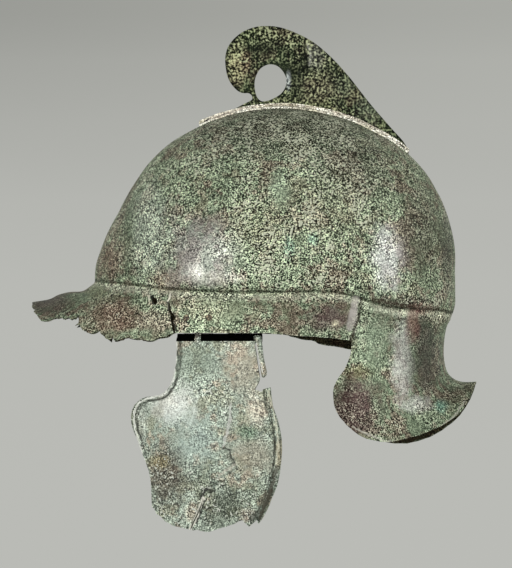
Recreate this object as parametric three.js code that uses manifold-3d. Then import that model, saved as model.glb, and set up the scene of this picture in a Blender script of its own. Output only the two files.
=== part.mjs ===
// An ancient bronze helmet: a raised bowl with a peak and a neck guard, a crest plate on two feet,
// and two hinged cheekpieces. Millimetres, +Z up, the front towards -X, the wearer's left towards -Y.
// The origin is the middle of the head opening, level with the bottom edge of the side band.
import * as THREE from 'three';
import { mergeVertices } from 'three/addons/utils/BufferGeometryUtils.js';
import Module from 'manifold-3d';

const wasm = await Module();
wasm.setup();

// Sheet and clearances
const bowlSheet = 1.4;
const seatGap = 0.25;
const overrun = 30;
const mergeStep = 0.0001;

// Bowl above the groove
const crownX = 5;
const crownZ = 152.6;
const frontLength = 125.6;
const backLength = 115.6;
const halfWidth = 96.5;
const stationShares = [0.985, 0.94, 0.88, 0.8, 0.7, 0.6, 0.5, 0.4, 0.3, 0.2, 0.1, 0.04, 0];
const frontShares = [0.17, 0.345, 0.47, 0.595, 0.696, 0.768, 0.826, 0.874, 0.922, 0.962, 0.993, 1, 1];
const sideShares = [0.18, 0.36, 0.5, 0.63, 0.75, 0.83, 0.89, 0.935, 0.967, 0.988, 1, 1, 0.985];
const backShares = [0.19, 0.385, 0.54, 0.695, 0.815, 0.89, 0.945, 0.98, 1, 1, 1, 1, 0.99];
const bowlSectors = 52;

// Below the groove the sheet is set out on meridians. Each has its turn from the front in degrees, the
// groove level as a share of the crown's height, the outward reach and the drop at the lower end as
// shares of the largest ones, and the shares of both that are reached at each station.
const skirtReach = 46;
const skirtDrop = 98;
const meridians = [
  { turn: 0, grooveShare: 0.2425, reachShare: 1, dropShare: 0.1633,
    outShares: [0.01, 0.054, 0.18, 0.37, 0.53, 0.65, 0.8, 1],
    downShares: [0.1, 0.2, 0.425, 0.463, 0.575, 0.75, 0.84, 0.94] },
  { turn: 22, grooveShare: 0.2326, reachShare: 0.8696, dropShare: 0.3776,
    outShares: [-0.01, 0.04, 0.15, 0.33, 0.5, 0.68, 0.83, 1],
    downShares: [0.05, 0.12, 0.23, 0.36, 0.51, 0.69, 0.84, 1] },
  { turn: 42, grooveShare: 0.2097, reachShare: 0.2935, dropShare: 0.4592,
    outShares: [-0.12, 0.02, 0.11, 0.26, 0.44, 0.63, 0.81, 1],
    downShares: [0.05, 0.11, 0.22, 0.38, 0.53, 0.69, 0.84, 1] },
  { turn: 62, grooveShare: 0.1933, reachShare: 0.0652, dropShare: 0.5714,
    outShares: [-0.6, 0.1, 0, 0.07, 0.2, 0.33, 0.67, 1],
    downShares: [0.04, 0.1, 0.18, 0.32, 0.48, 0.64, 0.82, 1] },
  { turn: 90, grooveShare: 0.19, reachShare: 0.1087, dropShare: 0.898,
    outShares: [-0.4, 0.06, -0.12, -0.2, -0.2, -0.16, 0.1, 1],
    downShares: [0.023, 0.063, 0.114, 0.2, 0.31, 0.48, 0.74, 1] },
  { turn: 112, grooveShare: 0.1868, reachShare: 0.1739, dropShare: 1,
    outShares: [-0.25, 0.03, -0.11, -0.2, -0.2, -0.12, 0.19, 1],
    downShares: [0.02, 0.056, 0.1, 0.18, 0.3, 0.49, 0.73, 1] },
  { turn: 134, grooveShare: 0.1278, reachShare: 0.2391, dropShare: 0.9898,
    outShares: [-0.14, -0.07, -0.23, -0.36, -0.45, -0.36, 0.09, 1],
    downShares: [0.02, 0.057, 0.1, 0.2, 0.37, 0.57, 0.78, 1] },
  { turn: 158, grooveShare: 0.1114, reachShare: 0.3696, dropShare: 0.8571,
    outShares: [-0.065, -0.08, -0.2, -0.3, -0.33, -0.22, 0.12, 1],
    downShares: [0.024, 0.063, 0.12, 0.24, 0.4, 0.58, 0.76, 1] },
  { turn: 180, grooveShare: 0.1048, reachShare: 0.4783, dropShare: 0.4796,
    outShares: [-0.04, -0.09, -0.2, -0.28, -0.27, -0.12, 0.28, 1],
    downShares: [0.04, 0.11, 0.21, 0.45, 0.7, 0.895, 0.99, 0.975] },
];

// Lower edge of the bowl, seen from the side
const peakTipX = -163;
const peakRootX = -66;
const peakTopZ = 60;
const peakDepth = 28;
const rimFrontZ = 2;
const rimBendX = -5;
const rimBackZ = -3.1;
const guardRootX = 50.9;
const guardFrontX = 38.9;
const guardTipX = 134.7;
const guardDepth = 72;
const guardTipZ = -28;
const peakEdgeShares = [
  [0, 0.53], [0.06, 0.34], [0.11, 0.28], [0.17, 0.35], [0.28, 0.34], [0.327, 0.41], [0.3, 0.17],
  [0.355, 0.06], [0.4, 0.01], [0.458, 0.07], [0.486, -0.05], [0.54, -0.18], [0.556, -0.05],
  [0.61, -0.15], [0.66, -0.12], [0.785, -0.15], [0.83, -0.17], [0.887, -0.1], [0.97, 0],
];
const guardEdgeShares = [
  [0.112, 0.15], [0.105, 0.24], [0.076, 0.317], [0.027, 0.41], [0, 0.52], [0.006, 0.64],
  [0.034, 0.735], [0.09, 0.82], [0.167, 0.91], [0.237, 0.958], [0.33, 0.982], [0.433, 1],
  [0.517, 1], [0.594, 0.978], [0.678, 0.94], [0.762, 0.875], [0.832, 0.81], [0.888, 0.735],
  [0.936, 0.64], [0.972, 0.55], [1, 0.43],
];

// Damage on the left of the peak: a small hole and a crack up from the edge
const tearHole = { x: -80.7, z: 23.3, width: 3.2, height: 5 };
const crack = { topX: -71.4, topZ: 22, footX: -67.5, footZ: 1, width: 0.9 };

// Crest plate. Its ends are shares of the bowl's front and back lengths, and its outline is in shares of
// its own length from the front toe and of its height above the crown.
const crestFrontShare = 0.44;
const crestBackShare = 0.727;
const crestHeight = 67;
const crestSheet = 2.4;
const crestSmoothSteps = 48;
const crestOutlineShares = [
  [0.04, 0.028], [0.106, 0.026], [0.169, 0.045], [0.226, 0.076], [0.255, 0.097], [0.24, 0.14],
  [0.231, 0.179], [0.192, 0.208], [0.159, 0.28], [0.135, 0.362], [0.125, 0.467], [0.121, 0.569],
  [0.13, 0.664], [0.159, 0.75], [0.207, 0.806], [0.255, 0.831], [0.313, 0.837], [0.37, 0.822],
  [0.433, 0.789], [0.505, 0.733], [0.577, 0.656], [0.64, 0.572], [0.697, 0.474], [0.745, 0.392],
  [0.818, 0.272], [0.89, 0.176], [0.962, 0.106], [1, 0.065],
];
const crestHoleShares = [
  [0.257, 0.251], [0.273, 0.383], [0.3, 0.449], [0.339, 0.477], [0.385, 0.434], [0.414, 0.366],
  [0.425, 0.278], [0.419, 0.187], [0.394, 0.123], [0.358, 0.099], [0.32, 0.072], [0.292, 0.071],
  [0.27, 0.099], [0.258, 0.146],
];
const crestFrontX = crownX - crestFrontShare * frontLength;
const crestBackX = crownX + crestBackShare * backLength;

// Crest feet: an angle strip on each side of the plate, riveted to the crown
const footSheet = 1.2;
const footWidth = 7;
const footLegHeight = 2.2;
const footRivetInset = 5;

// Rivets
const rivetShank = 1.2;
const rivetHeadRadius = 2.4;
const rivetHeadHeight = 0.9;
const rivetTailHeight = 0.7;
const rivetTailShare = 0.9;
const rivetShoulderShares = [0.8, 0.65];
const rivetSides = 10;

// Hinge under the side band
const hingeX = -51.5;
const hingeTurn = 14;
const pinZ = 4.4;
const pinRadius = 0.95;
const pinHeadRadius = 1.7;
const pinHeadLength = 0.8;
const runGap = 0.3;
const knuckleWall = 0.95;
const knuckleLength = 8;
const tongueWidth = 4;
const leafSheet = 1.2;
const leafTopZ = 16;
const leafRivetZ = 11.5;
const leafRings = 6;
const roundSides = 12;

// Cheekpiece, outline in shares of its width and drop from the hinge pin
const cheekWidth = 103;
const cheekDrop = 135.5;
const cheekSheet = 1.4;
const cheekBulge = 5;
const cheekTuck = 10;
const cheekCurveShare = 2.2;
const cheekColumns = 12;
const cheekRows = 12;
const cheekAlongShares = [-0.55, 0.65];
const cheekDropShares = [-0.02, 1.03];
const cheekOutlineShares = [
  [-0.02, 0], [-0.02, 0.024], [-0.14, 0.024], [-0.149, 0.055], [-0.158, 0.14], [-0.176, 0.234],
  [-0.221, 0.298], [-0.268, 0.322], [-0.36, 0.33], [-0.423, 0.353], [-0.465, 0.397],
  [-0.473, 0.427], [-0.458, 0.466], [-0.423, 0.555], [-0.381, 0.634], [-0.345, 0.709],
  [-0.328, 0.782], [-0.328, 0.866], [-0.296, 0.906], [-0.191, 0.965], [-0.055, 0.985],
  [0.073, 1], [0.18, 0.976], [0.294, 0.941], [0.336, 0.97], [0.389, 0.936], [0.428, 0.928],
  [0.481, 0.842], [0.52, 0.768], [0.547, 0.649], [0.55, 0.551], [0.524, 0.452],
  [0.488, 0.377], [0.474, 0.286], [0.428, 0.293], [0.409, 0.249], [0.448, 0.208],
  [0.441, 0.149], [0.428, 0.055], [0.42, 0.024], [0.02, 0.024], [0.02, 0],
];

const bronze = (name, color, roughness) => {
  const material = new THREE.MeshStandardMaterial({ color, roughness, metalness: 0.35 });
  material.name = name;
  return material;
};

// Value of a smooth curve through hand-set points, level at both ends
function smoothValue(places, values, at) {
  const last = places.length - 1;
  let upper = 1;
  while (upper < last && at > places[upper]) {
    upper += 1;
  }
  const lower = upper - 1;
  const slope = (i) => {
    if (i === 0 || i === last) {
      return 0;
    }
    return (values[i + 1] - values[i - 1]) / (places[i + 1] - places[i - 1]);
  };
  const span = places[upper] - places[lower];
  const s = (at - places[lower]) / span;
  const rise = values[upper] - values[lower];
  const startSlope = slope(lower) * span;
  const endSlope = slope(upper) * span;
  const bend = startSlope + endSlope - 2 * rise;
  return values[lower] + s * (startSlope + s * (3 * rise - 2 * startSlope - endSlope + s * bend));
}

const meridianTurns = meridians.map((meridian) => meridian.turn);
const upperRings = stationShares.length;
const ringCount = upperRings + meridians[0].outShares.length;

function acrossMeridians(turn, pick) {
  return smoothValue(meridianTurns, meridians.map(pick), turn);
}

function ellipseRadius(angle, along, across) {
  return 1 / Math.hypot(Math.cos(angle) / along, Math.sin(angle) / across);
}

// A point on the outer face. The turn is in degrees from the front towards the left.
function shellPoint(turn, ring) {
  const folded = turn > 180 ? 360 - turn : turn;
  const angle = THREE.MathUtils.degToRad(turn);
  const upper = Math.min(ring, upperRings - 1);
  const along = folded < 90 ? frontLength * frontShares[upper] : backLength * backShares[upper];
  const groove = crownZ * acrossMeridians(folded, (meridian) => meridian.grooveShare);
  let radius = ellipseRadius(angle, along, halfWidth * sideShares[upper]);
  let height = groove + (crownZ - groove) * stationShares[upper];
  if (ring >= upperRings) {
    const step = ring - upperRings;
    const outShare = (meridian) => meridian.reachShare * meridian.outShares[step];
    const downShare = (meridian) => meridian.dropShare * meridian.downShares[step];
    radius += skirtReach * acrossMeridians(folded, outShare);
    height -= skirtDrop * acrossMeridians(folded, downShare);
  }
  return new THREE.Vector3(crownX - radius * Math.cos(angle), -radius * Math.sin(angle), height);
}

const crown = new THREE.Vector3(crownX, 0, crownZ);
const sectorTurn = 360 / bowlSectors;
const shellRings = [];
for (let ring = 0; ring < ringCount; ring += 1) {
  const row = [];
  for (let sector = 0; sector < bowlSectors; sector += 1) {
    row.push(shellPoint(sector * sectorTurn, ring));
  }
  shellRings.push(row);
}

function shellNormal(ring, sector) {
  const above = ring > 0 ? shellRings[ring - 1][sector] : crown;
  const below = shellRings[Math.min(ring + 1, ringCount - 1)][sector];
  const before = shellRings[ring][(sector + bowlSectors - 1) % bowlSectors];
  const after = shellRings[ring][(sector + 1) % bowlSectors];
  const down = below.clone().sub(above);
  const round = after.clone().sub(before);
  return down.cross(round).normalize();
}

const shellNormals = shellRings.map((row, ring) => row.map((point, sector) => shellNormal(ring, sector)));

// Points of the outer face moved out by a distance, the crown first, down to a last ring
function offsetPoints(distance, rings) {
  const points = [crown.clone().add(new THREE.Vector3(0, 0, distance))];
  for (let ring = 0; ring < rings; ring += 1) {
    for (let sector = 0; sector < bowlSectors; sector += 1) {
      points.push(shellRings[ring][sector].clone().addScaledVector(shellNormals[ring][sector], distance));
    }
  }
  return points;
}

function offsetFaces(rings, start, turnedIn) {
  const faces = [];
  const face = (a, b, c) => faces.push(turnedIn ? [a, c, b] : [a, b, c]);
  const at = (ring, sector) => start + 1 + ring * bowlSectors + (sector % bowlSectors);
  for (let sector = 0; sector < bowlSectors; sector += 1) {
    face(start, at(0, sector), at(0, sector + 1));
    for (let ring = 0; ring < rings - 1; ring += 1) {
      face(at(ring, sector), at(ring + 1, sector), at(ring + 1, sector + 1));
      face(at(ring, sector), at(ring + 1, sector + 1), at(ring, sector + 1));
    }
  }
  return faces;
}

function meshSolid(points, faces) {
  const vertProperties = new Float32Array(points.flatMap((point) => point.toArray()));
  const triVerts = new Uint32Array(faces.flat());
  return new wasm.Manifold(new wasm.Mesh({ numProp: 3, vertProperties, triVerts }));
}

// Everything inside the outer face moved out by a distance, closed across a last ring
function filledBowl(distance, rings) {
  const points = offsetPoints(distance, rings);
  const faces = offsetFaces(rings, 0, false);
  const hub = points.length;
  const lastRow = 1 + (rings - 1) * bowlSectors;
  points.push(new THREE.Vector3(crownX, 0, 0));
  for (let sector = 0; sector < bowlSectors; sector += 1) {
    faces.push([hub, lastRow + ((sector + 1) % bowlSectors), lastRow + sector]);
  }
  return meshSolid(points, faces);
}

function shellSolid() {
  const outside = offsetPoints(0, ringCount);
  const inside = offsetPoints(-bowlSheet, ringCount);
  const start = outside.length;
  const faces = [...offsetFaces(ringCount, 0, false), ...offsetFaces(ringCount, start, true)];
  const lastRow = 1 + (ringCount - 1) * bowlSectors;
  for (let sector = 0; sector < bowlSectors; sector += 1) {
    const here = lastRow + sector;
    const next = lastRow + ((sector + 1) % bowlSectors);
    faces.push([here, start + here, start + next]);
    faces.push([here, start + next, next]);
  }
  return meshSolid([...outside, ...inside], faces);
}

// three.js geometry to a solid and back
function solidFrom(geometry) {
  const bare = geometry.index ? geometry.toNonIndexed() : geometry.clone();
  bare.deleteAttribute('normal');
  bare.deleteAttribute('uv');
  const merged = mergeVertices(bare, mergeStep);
  const index = merged.index.array;
  const kept = [];
  for (let i = 0; i < index.length; i += 3) {
    const [a, b, c] = [index[i], index[i + 1], index[i + 2]];
    if (a !== b && b !== c && c !== a) {
      kept.push(a, b, c);
    }
  }
  const vertProperties = merged.attributes.position.array;
  return new wasm.Manifold(new wasm.Mesh({ numProp: 3, vertProperties, triVerts: new Uint32Array(kept) }));
}

function geometryFrom(solid) {
  const mesh = solid.getMesh();
  const geometry = new THREE.BufferGeometry();
  geometry.setAttribute('position', new THREE.BufferAttribute(new Float32Array(mesh.vertProperties), 3));
  geometry.setIndex(new THREE.BufferAttribute(new Uint32Array(mesh.triVerts), 1));
  geometry.computeVertexNormals();
  return geometry;
}

function mirrored(geometry) {
  const copy = geometry.clone();
  copy.scale(1, -1, 1);
  const index = copy.index.array;
  for (let i = 0; i < index.length; i += 3) {
    [index[i], index[i + 1]] = [index[i + 1], index[i]];
  }
  copy.computeVertexNormals();
  return copy;
}

function boxBetween(low, high) {
  const size = high.clone().sub(low);
  const middle = high.clone().add(low).multiplyScalar(0.5);
  const box = new THREE.BoxGeometry(size.x, size.y, size.z);
  box.translate(middle.x, middle.y, middle.z);
  return solidFrom(box);
}

// A side-view outline given a thickness across the helmet, from one y to another
function sidePlate(shape, fromY, toY) {
  const plate = new THREE.ExtrudeGeometry(shape, { depth: toY - fromY, bevelEnabled: false, curveSegments: 1 });
  plate.rotateX(Math.PI / 2);
  plate.translate(0, toY, 0);
  return solidFrom(plate);
}

function tube(radius, length, sides) {
  const cylinder = new THREE.CylinderGeometry(radius, radius, length, sides);
  cylinder.rotateZ(Math.PI / 2);
  return cylinder;
}

// Normal between the corners of a face of the shell, s of the way down and t of the way round
function blendedNormal(ring, sector, s, t) {
  const start = shellNormals[ring][sector].clone().lerp(shellNormals[ring + 1][sector], s);
  const end = shellNormals[ring][sector + 1].clone().lerp(shellNormals[ring + 1][sector + 1], s);
  return start.lerp(end, t).normalize();
}

// The point of the left outer face that has two given coordinates, looked for among some rings
function facePoint(places, fromRing, toRing) {
  const [[first, firstAt], [second, secondAt]] = Object.entries(places);
  let best = null;
  let nearest = Infinity;
  for (let ring = fromRing; ring < toRing; ring += 1) {
    for (let sector = 0; sector < bowlSectors / 2; sector += 1) {
      const corner = shellRings[ring][sector];
      const down = shellRings[ring + 1][sector].clone().sub(corner);
      const round = shellRings[ring][sector + 1].clone().sub(corner);
      const size = down[first] * round[second] - down[second] * round[first];
      const away = firstAt - corner[first];
      const off = secondAt - corner[second];
      const s = (away * round[second] - off * round[first]) / size;
      const t = (down[first] * off - down[second] * away) / size;
      const miss = Math.hypot(s - THREE.MathUtils.clamp(s, 0, 1), t - THREE.MathUtils.clamp(t, 0, 1));
      if (miss < nearest) {
        nearest = miss;
        const point = corner.clone().addScaledVector(down, s).addScaledVector(round, t);
        best = { point, normal: blendedNormal(ring, sector, s, t) };
      }
    }
  }
  return best;
}

const bandPoint = (x, z) => facePoint({ x, z }, upperRings, ringCount - 1);
const crownPoint = (x, y) => facePoint({ x, y }, 0, upperRings - 1);

// Rivet on the z axis: its head rests above z = 0 and its tail below a grip of plates
function rivetGeometry(grip) {
  const tailTop = -grip - seatGap;
  const tailRadius = rivetHeadRadius * rivetTailShare;
  const [shoulderOut, shoulderUp] = rivetShoulderShares;
  const profile = [
    new THREE.Vector2(0, tailTop - rivetTailHeight),
    new THREE.Vector2(tailRadius, tailTop - rivetTailHeight),
    new THREE.Vector2(tailRadius, tailTop),
    new THREE.Vector2(rivetShank, tailTop),
    new THREE.Vector2(rivetShank, seatGap),
    new THREE.Vector2(rivetHeadRadius, seatGap),
    new THREE.Vector2(rivetHeadRadius * shoulderOut, seatGap + rivetHeadHeight * shoulderUp),
    new THREE.Vector2(0, seatGap + rivetHeadHeight),
  ];
  const lathe = new THREE.LatheGeometry(profile, rivetSides);
  lathe.rotateX(Math.PI / 2);
  return geometryFrom(solidFrom(lathe));
}

function rivetHole(seat) {
  const reach = 2 * overrun;
  const hole = new THREE.CylinderGeometry(rivetShank + seatGap, rivetShank + seatGap, reach, rivetSides);
  hole.applyQuaternion(new THREE.Quaternion().setFromUnitVectors(new THREE.Vector3(0, 1, 0), seat.normal));
  hole.translate(seat.point.x, seat.point.y, seat.point.z);
  return solidFrom(hole);
}

// Crest rivets sit on the middle of each foot, near both ends
const footInnerY = crestSheet / 2 + seatGap;
const footRivetY = footInnerY + footSheet + footWidth / 2;
const crestSeats = {
  front: crownPoint(crestFrontX + footRivetInset, -footRivetY),
  rear: crownPoint(crestBackX - footRivetInset, -footRivetY),
};

// Hinge: the pin runs just inside the band and leaves the knuckles clear of it
const knuckleRadius = pinRadius + runGap + knuckleWall;
const sideGap = runGap;
const hingeHalf = tongueWidth / 2 + sideGap + knuckleLength;
const hingeAngle = THREE.MathUtils.degToRad(hingeTurn);
const hingeAlong = new THREE.Vector3(Math.cos(hingeAngle), -Math.sin(hingeAngle), 0);
const hingeOut = new THREE.Vector3(-Math.sin(hingeAngle), -Math.cos(hingeAngle), 0);

function hingeCentre() {
  const clearances = [-1, 0, 1].map((end) => {
    const seat = bandPoint(hingeX + hingeAlong.x * end * hingeHalf, pinZ);
    return hingeOut.dot(seat.point);
  });
  const out = Math.min(...clearances) - bowlSheet - seatGap - knuckleRadius;
  const y = (out - hingeOut.x * hingeX) / hingeOut.y;
  return new THREE.Vector3(hingeX, y, pinZ);
}

const hingeAt = hingeCentre();
const leafRivetOut = hingeHalf - rivetHeadRadius - seatGap;
const hingeSeats = {
  front: bandPoint(hingeX - leafRivetOut, leafRivetZ),
  rear: bandPoint(hingeX + leafRivetOut, leafRivetZ),
};

function flipped(seat) {
  const point = seat.point.clone();
  const normal = seat.normal.clone();
  point.y = -point.y;
  normal.y = -normal.y;
  return { point, normal };
}

function edgePoint(share, startX, endX, startZ, depth) {
  return new THREE.Vector2(startX + share[0] * (endX - startX), startZ + share[1] * depth);
}

// The space beside and below the helmet's lower edge
function belowTheEdge() {
  const points = [new THREE.Vector2(peakTipX, peakTopZ)];
  for (const share of peakEdgeShares) {
    points.push(edgePoint(share, peakTipX, peakRootX, rimFrontZ, peakDepth));
  }
  points.push(new THREE.Vector2(peakRootX, rimFrontZ));
  points.push(new THREE.Vector2(rimBendX, rimFrontZ));
  points.push(new THREE.Vector2(guardRootX, rimBackZ));
  for (const share of guardEdgeShares) {
    points.push(edgePoint(share, guardFrontX, guardTipX, 0, -guardDepth));
  }
  points.push(new THREE.Vector2(guardTipX, guardTipZ));
  points.push(new THREE.Vector2(guardTipX + overrun, guardTipZ));
  points.push(new THREE.Vector2(guardTipX + overrun, -guardDepth - overrun));
  points.push(new THREE.Vector2(peakTipX - overrun, -guardDepth - overrun));
  points.push(new THREE.Vector2(peakTipX - overrun, peakTopZ));
  return sidePlate(new THREE.Shape(points), -halfWidth - overrun, halfWidth + overrun);
}

function damageCuts() {
  const hole = new THREE.Shape();
  hole.absellipse(tearHole.x, tearHole.z, tearHole.width / 2, tearHole.height / 2, 0, Math.PI * 2, false, 0);
  const holePlate = sidePlate(new THREE.Shape(hole.getPoints(2)), -halfWidth - overrun, 0);
  const slit = new THREE.Shape([
    new THREE.Vector2(crack.topX, crack.topZ),
    new THREE.Vector2(crack.footX - crack.width / 2, crack.footZ),
    new THREE.Vector2(crack.footX + crack.width / 2, crack.footZ),
  ]);
  return [holePlate, sidePlate(slit, -halfWidth - overrun, 0)];
}

function bowlGeometry() {
  let bowl = shellSolid().subtract(belowTheEdge());
  for (const cut of damageCuts()) {
    bowl = bowl.subtract(cut);
  }
  for (const seat of [...Object.values(crestSeats), ...Object.values(hingeSeats)]) {
    bowl = bowl.subtract(rivetHole(seat)).subtract(rivetHole(flipped(seat)));
  }
  return geometryFrom(bowl);
}

// Height of the crown's middle line at a place along the helmet
function crownLine(x) {
  const sector = x < crownX ? 0 : bowlSectors / 2;
  const line = [crown, ...shellRings.slice(0, upperRings).map((row) => row[sector])];
  const reached = (point) => Math.abs(x - crownX) < Math.abs(point.x - crownX);
  const next = line.findIndex(reached);
  return THREE.MathUtils.mapLinear(x, line[next - 1].x, line[next].x, line[next - 1].z, line[next].z);
}

function crestPoint([along, rise]) {
  const x = THREE.MathUtils.lerp(crestFrontX, crestBackX, along);
  return new THREE.Vector2(x, crownLine(x) + rise * crestHeight);
}

function crestGeometry() {
  const outer = new THREE.SplineCurve(crestOutlineShares.map(crestPoint)).getPoints(crestSmoothSteps);
  const buried = crownLine(crestBackX) - overrun;
  const shape = new THREE.Shape([
    ...outer,
    new THREE.Vector2(crestBackX, buried),
    new THREE.Vector2(crestFrontX, buried),
    new THREE.Vector2(crestFrontX, outer[0].y - seatGap),
  ]);
  const ring = [...crestHoleShares, crestHoleShares[0]].map(crestPoint);
  const opening = new THREE.Shape(new THREE.SplineCurve(ring).getPoints(2 * ring.length).slice(0, -1));
  const plate = sidePlate(shape, -crestSheet / 2, crestSheet / 2);
  const hole = sidePlate(opening, -crestSheet - overrun, crestSheet + overrun);
  return geometryFrom(plate.subtract(hole).subtract(filledBowl(seatGap, upperRings)));
}

function footGeometry() {
  const layer = (height) => filledBowl(seatGap + height, upperRings).subtract(filledBowl(seatGap, upperRings));
  const strip = (width) => boxBetween(
    new THREE.Vector3(crestFrontX, -footInnerY - width, crownLine(crestBackX) - overrun),
    new THREE.Vector3(crestBackX, -footInnerY, crownZ + overrun),
  );
  const flange = layer(footSheet).intersect(strip(footSheet + footWidth));
  const leg = layer(footLegHeight).intersect(strip(footSheet));
  let foot = flange.add(leg);
  for (const seat of Object.values(crestSeats)) {
    foot = foot.subtract(rivetHole(seat));
  }
  return geometryFrom(foot);
}

function placed(solid) {
  const turned = geometryFrom(solid);
  turned.rotateZ(-hingeAngle);
  turned.translate(hingeAt.x, hingeAt.y, hingeAt.z);
  return solidFrom(turned);
}

// Upper hinge leaf: a plate that follows the inside of the band, with a knuckle at each end
function leafGeometry() {
  const inside = -bowlSheet - seatGap;
  const deepest = upperRings + leafRings;
  const layer = filledBowl(inside, deepest).subtract(filledBowl(inside - leafSheet, deepest));
  const plateBox = boxBetween(
    new THREE.Vector3(-hingeHalf, -overrun, 0),
    new THREE.Vector3(hingeHalf, overrun, leafTopZ - pinZ),
  );
  let leaf = layer.intersect(placed(plateBox));
  for (const end of [-1, 1]) {
    const middle = end * (hingeHalf - knuckleLength / 2);
    const barrel = tube(knuckleRadius, knuckleLength, roundSides);
    barrel.translate(middle, 0, 0);
    const web = boxBetween(
      new THREE.Vector3(middle - knuckleLength / 2, -knuckleRadius - leafSheet, 0),
      new THREE.Vector3(middle + knuckleLength / 2, leafSheet - knuckleRadius, 2 * knuckleRadius),
    );
    leaf = leaf.add(placed(solidFrom(barrel).add(web)).intersect(filledBowl(inside, deepest)));
  }
  const tongueRoom = tongueWidth / 2 + sideGap;
  const notch = boxBetween(
    new THREE.Vector3(-tongueRoom, -overrun, -overrun),
    new THREE.Vector3(tongueRoom, overrun, knuckleRadius + runGap),
  );
  leaf = leaf.subtract(placed(notch));
  leaf = leaf.subtract(placed(solidFrom(tube(pinRadius + runGap, 2 * overrun, roundSides))));
  for (const seat of Object.values(hingeSeats)) {
    leaf = leaf.subtract(rivetHole(seat));
  }
  return geometryFrom(leaf);
}

function pinGeometry() {
  const half = hingeHalf + seatGap;
  const profile = [
    new THREE.Vector2(0, -half - pinHeadLength),
    new THREE.Vector2(pinHeadRadius, -half - pinHeadLength),
    new THREE.Vector2(pinHeadRadius, -half),
    new THREE.Vector2(pinRadius, -half),
    new THREE.Vector2(pinRadius, half),
    new THREE.Vector2(pinHeadRadius, half),
    new THREE.Vector2(pinHeadRadius, half + pinHeadLength),
    new THREE.Vector2(0, half + pinHeadLength),
  ];
  const pin = new THREE.LatheGeometry(profile, roundSides);
  pin.rotateZ(-Math.PI / 2);
  return geometryFrom(solidFrom(pin));
}

// The inward shift of the cheekpiece's outer face: bellied in the middle, its front turned in
function cheekShift(along, drop) {
  const s = along / cheekWidth;
  const t = drop / cheekDrop;
  const belly = Math.sin(Math.PI * THREE.MathUtils.clamp(t, 0, 1)) * (1 - cheekCurveShare * s * s);
  return -cheekBulge * belly + cheekTuck * 4 * s * s * t;
}

function cheekSheetSolid() {
  const columns = cheekColumns + 1;
  const points = [];
  for (const depth of [0, cheekSheet]) {
    for (let row = 0; row <= cheekRows; row += 1) {
      for (let column = 0; column < columns; column += 1) {
        const along = cheekWidth * THREE.MathUtils.lerp(...cheekAlongShares, column / cheekColumns);
        const drop = cheekDrop * THREE.MathUtils.lerp(...cheekDropShares, row / cheekRows);
        const y = cheekShift(along, drop) + knuckleRadius - cheekSheet + depth;
        points.push(new THREE.Vector3(along, y, -drop));
      }
    }
  }
  const layer = columns * (cheekRows + 1);
  const at = (row, column, back) => row * columns + column + (back ? layer : 0);
  const faces = [];
  for (let row = 0; row < cheekRows; row += 1) {
    for (let column = 0; column < cheekColumns; column += 1) {
      faces.push([at(row, column), at(row + 1, column), at(row + 1, column + 1)]);
      faces.push([at(row, column), at(row + 1, column + 1), at(row, column + 1)]);
      faces.push([at(row, column, true), at(row + 1, column + 1, true), at(row + 1, column, true)]);
      faces.push([at(row, column, true), at(row, column + 1, true), at(row + 1, column + 1, true)]);
    }
  }
  const border = [];
  for (let row = 0; row < cheekRows; row += 1) {
    border.push([at(row, 0), at(row + 1, 0)]);
  }
  for (let column = 0; column < cheekColumns; column += 1) {
    border.push([at(cheekRows, column), at(cheekRows, column + 1)]);
  }
  for (let row = cheekRows; row > 0; row -= 1) {
    border.push([at(row, cheekColumns), at(row - 1, cheekColumns)]);
  }
  for (let column = cheekColumns; column > 0; column -= 1) {
    border.push([at(0, column), at(0, column - 1)]);
  }
  for (const [here, next] of border) {
    faces.push([here, here + layer, next + layer]);
    faces.push([here, next + layer, next]);
  }
  return meshSolid(points, faces);
}

function cheekGeometry() {
  const outline = cheekOutlineShares.map(([x, drop]) => new THREE.Vector2(x * cheekWidth, -drop * cheekDrop));
  const prism = sidePlate(new THREE.Shape(outline), -overrun, overrun);
  const barrel = solidFrom(tube(knuckleRadius, tongueWidth, roundSides));
  const bore = solidFrom(tube(pinRadius + runGap, 2 * overrun, roundSides));
  return geometryFrom(cheekSheetSolid().intersect(prism).add(barrel).subtract(bore));
}

const helmet = new THREE.Group();

function addPiece(parent, name, geometry, material) {
  const mesh = new THREE.Mesh(geometry, material);
  mesh.name = name;
  parent.add(mesh);
  return mesh;
}

const greenBronze = bronze('green_bronze', 0x6f7f68, 0.7);
const darkBronze = bronze('dark_bronze', 0x46503c, 0.65);
const paleBronze = bronze('pale_bronze', 0xa9a78c, 0.7);
const cheekBronze = bronze('cheek_bronze', 0x7c8a78, 0.65);
const brownBronze = bronze('brown_bronze', 0x5d5144, 0.6);

addPiece(helmet, 'helmet_bowl', bowlGeometry(), greenBronze);
addPiece(helmet, 'crest_plate', crestGeometry(), darkBronze);

const footShape = footGeometry();
const leafShape = leafGeometry();
const cheekShape = cheekGeometry();
const pinShape = pinGeometry();
const crestRivetShape = rivetGeometry(bowlSheet + seatGap + footSheet);
const hingeRivetShape = rivetGeometry(bowlSheet + seatGap + leafSheet);

function addRivet(name, shape, seat, lift) {
  const rivet = addPiece(helmet, name, shape, brownBronze);
  rivet.position.copy(seat.point).addScaledVector(seat.normal, lift);
  rivet.quaternion.setFromUnitVectors(new THREE.Vector3(0, 0, 1), seat.normal);
}

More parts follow.
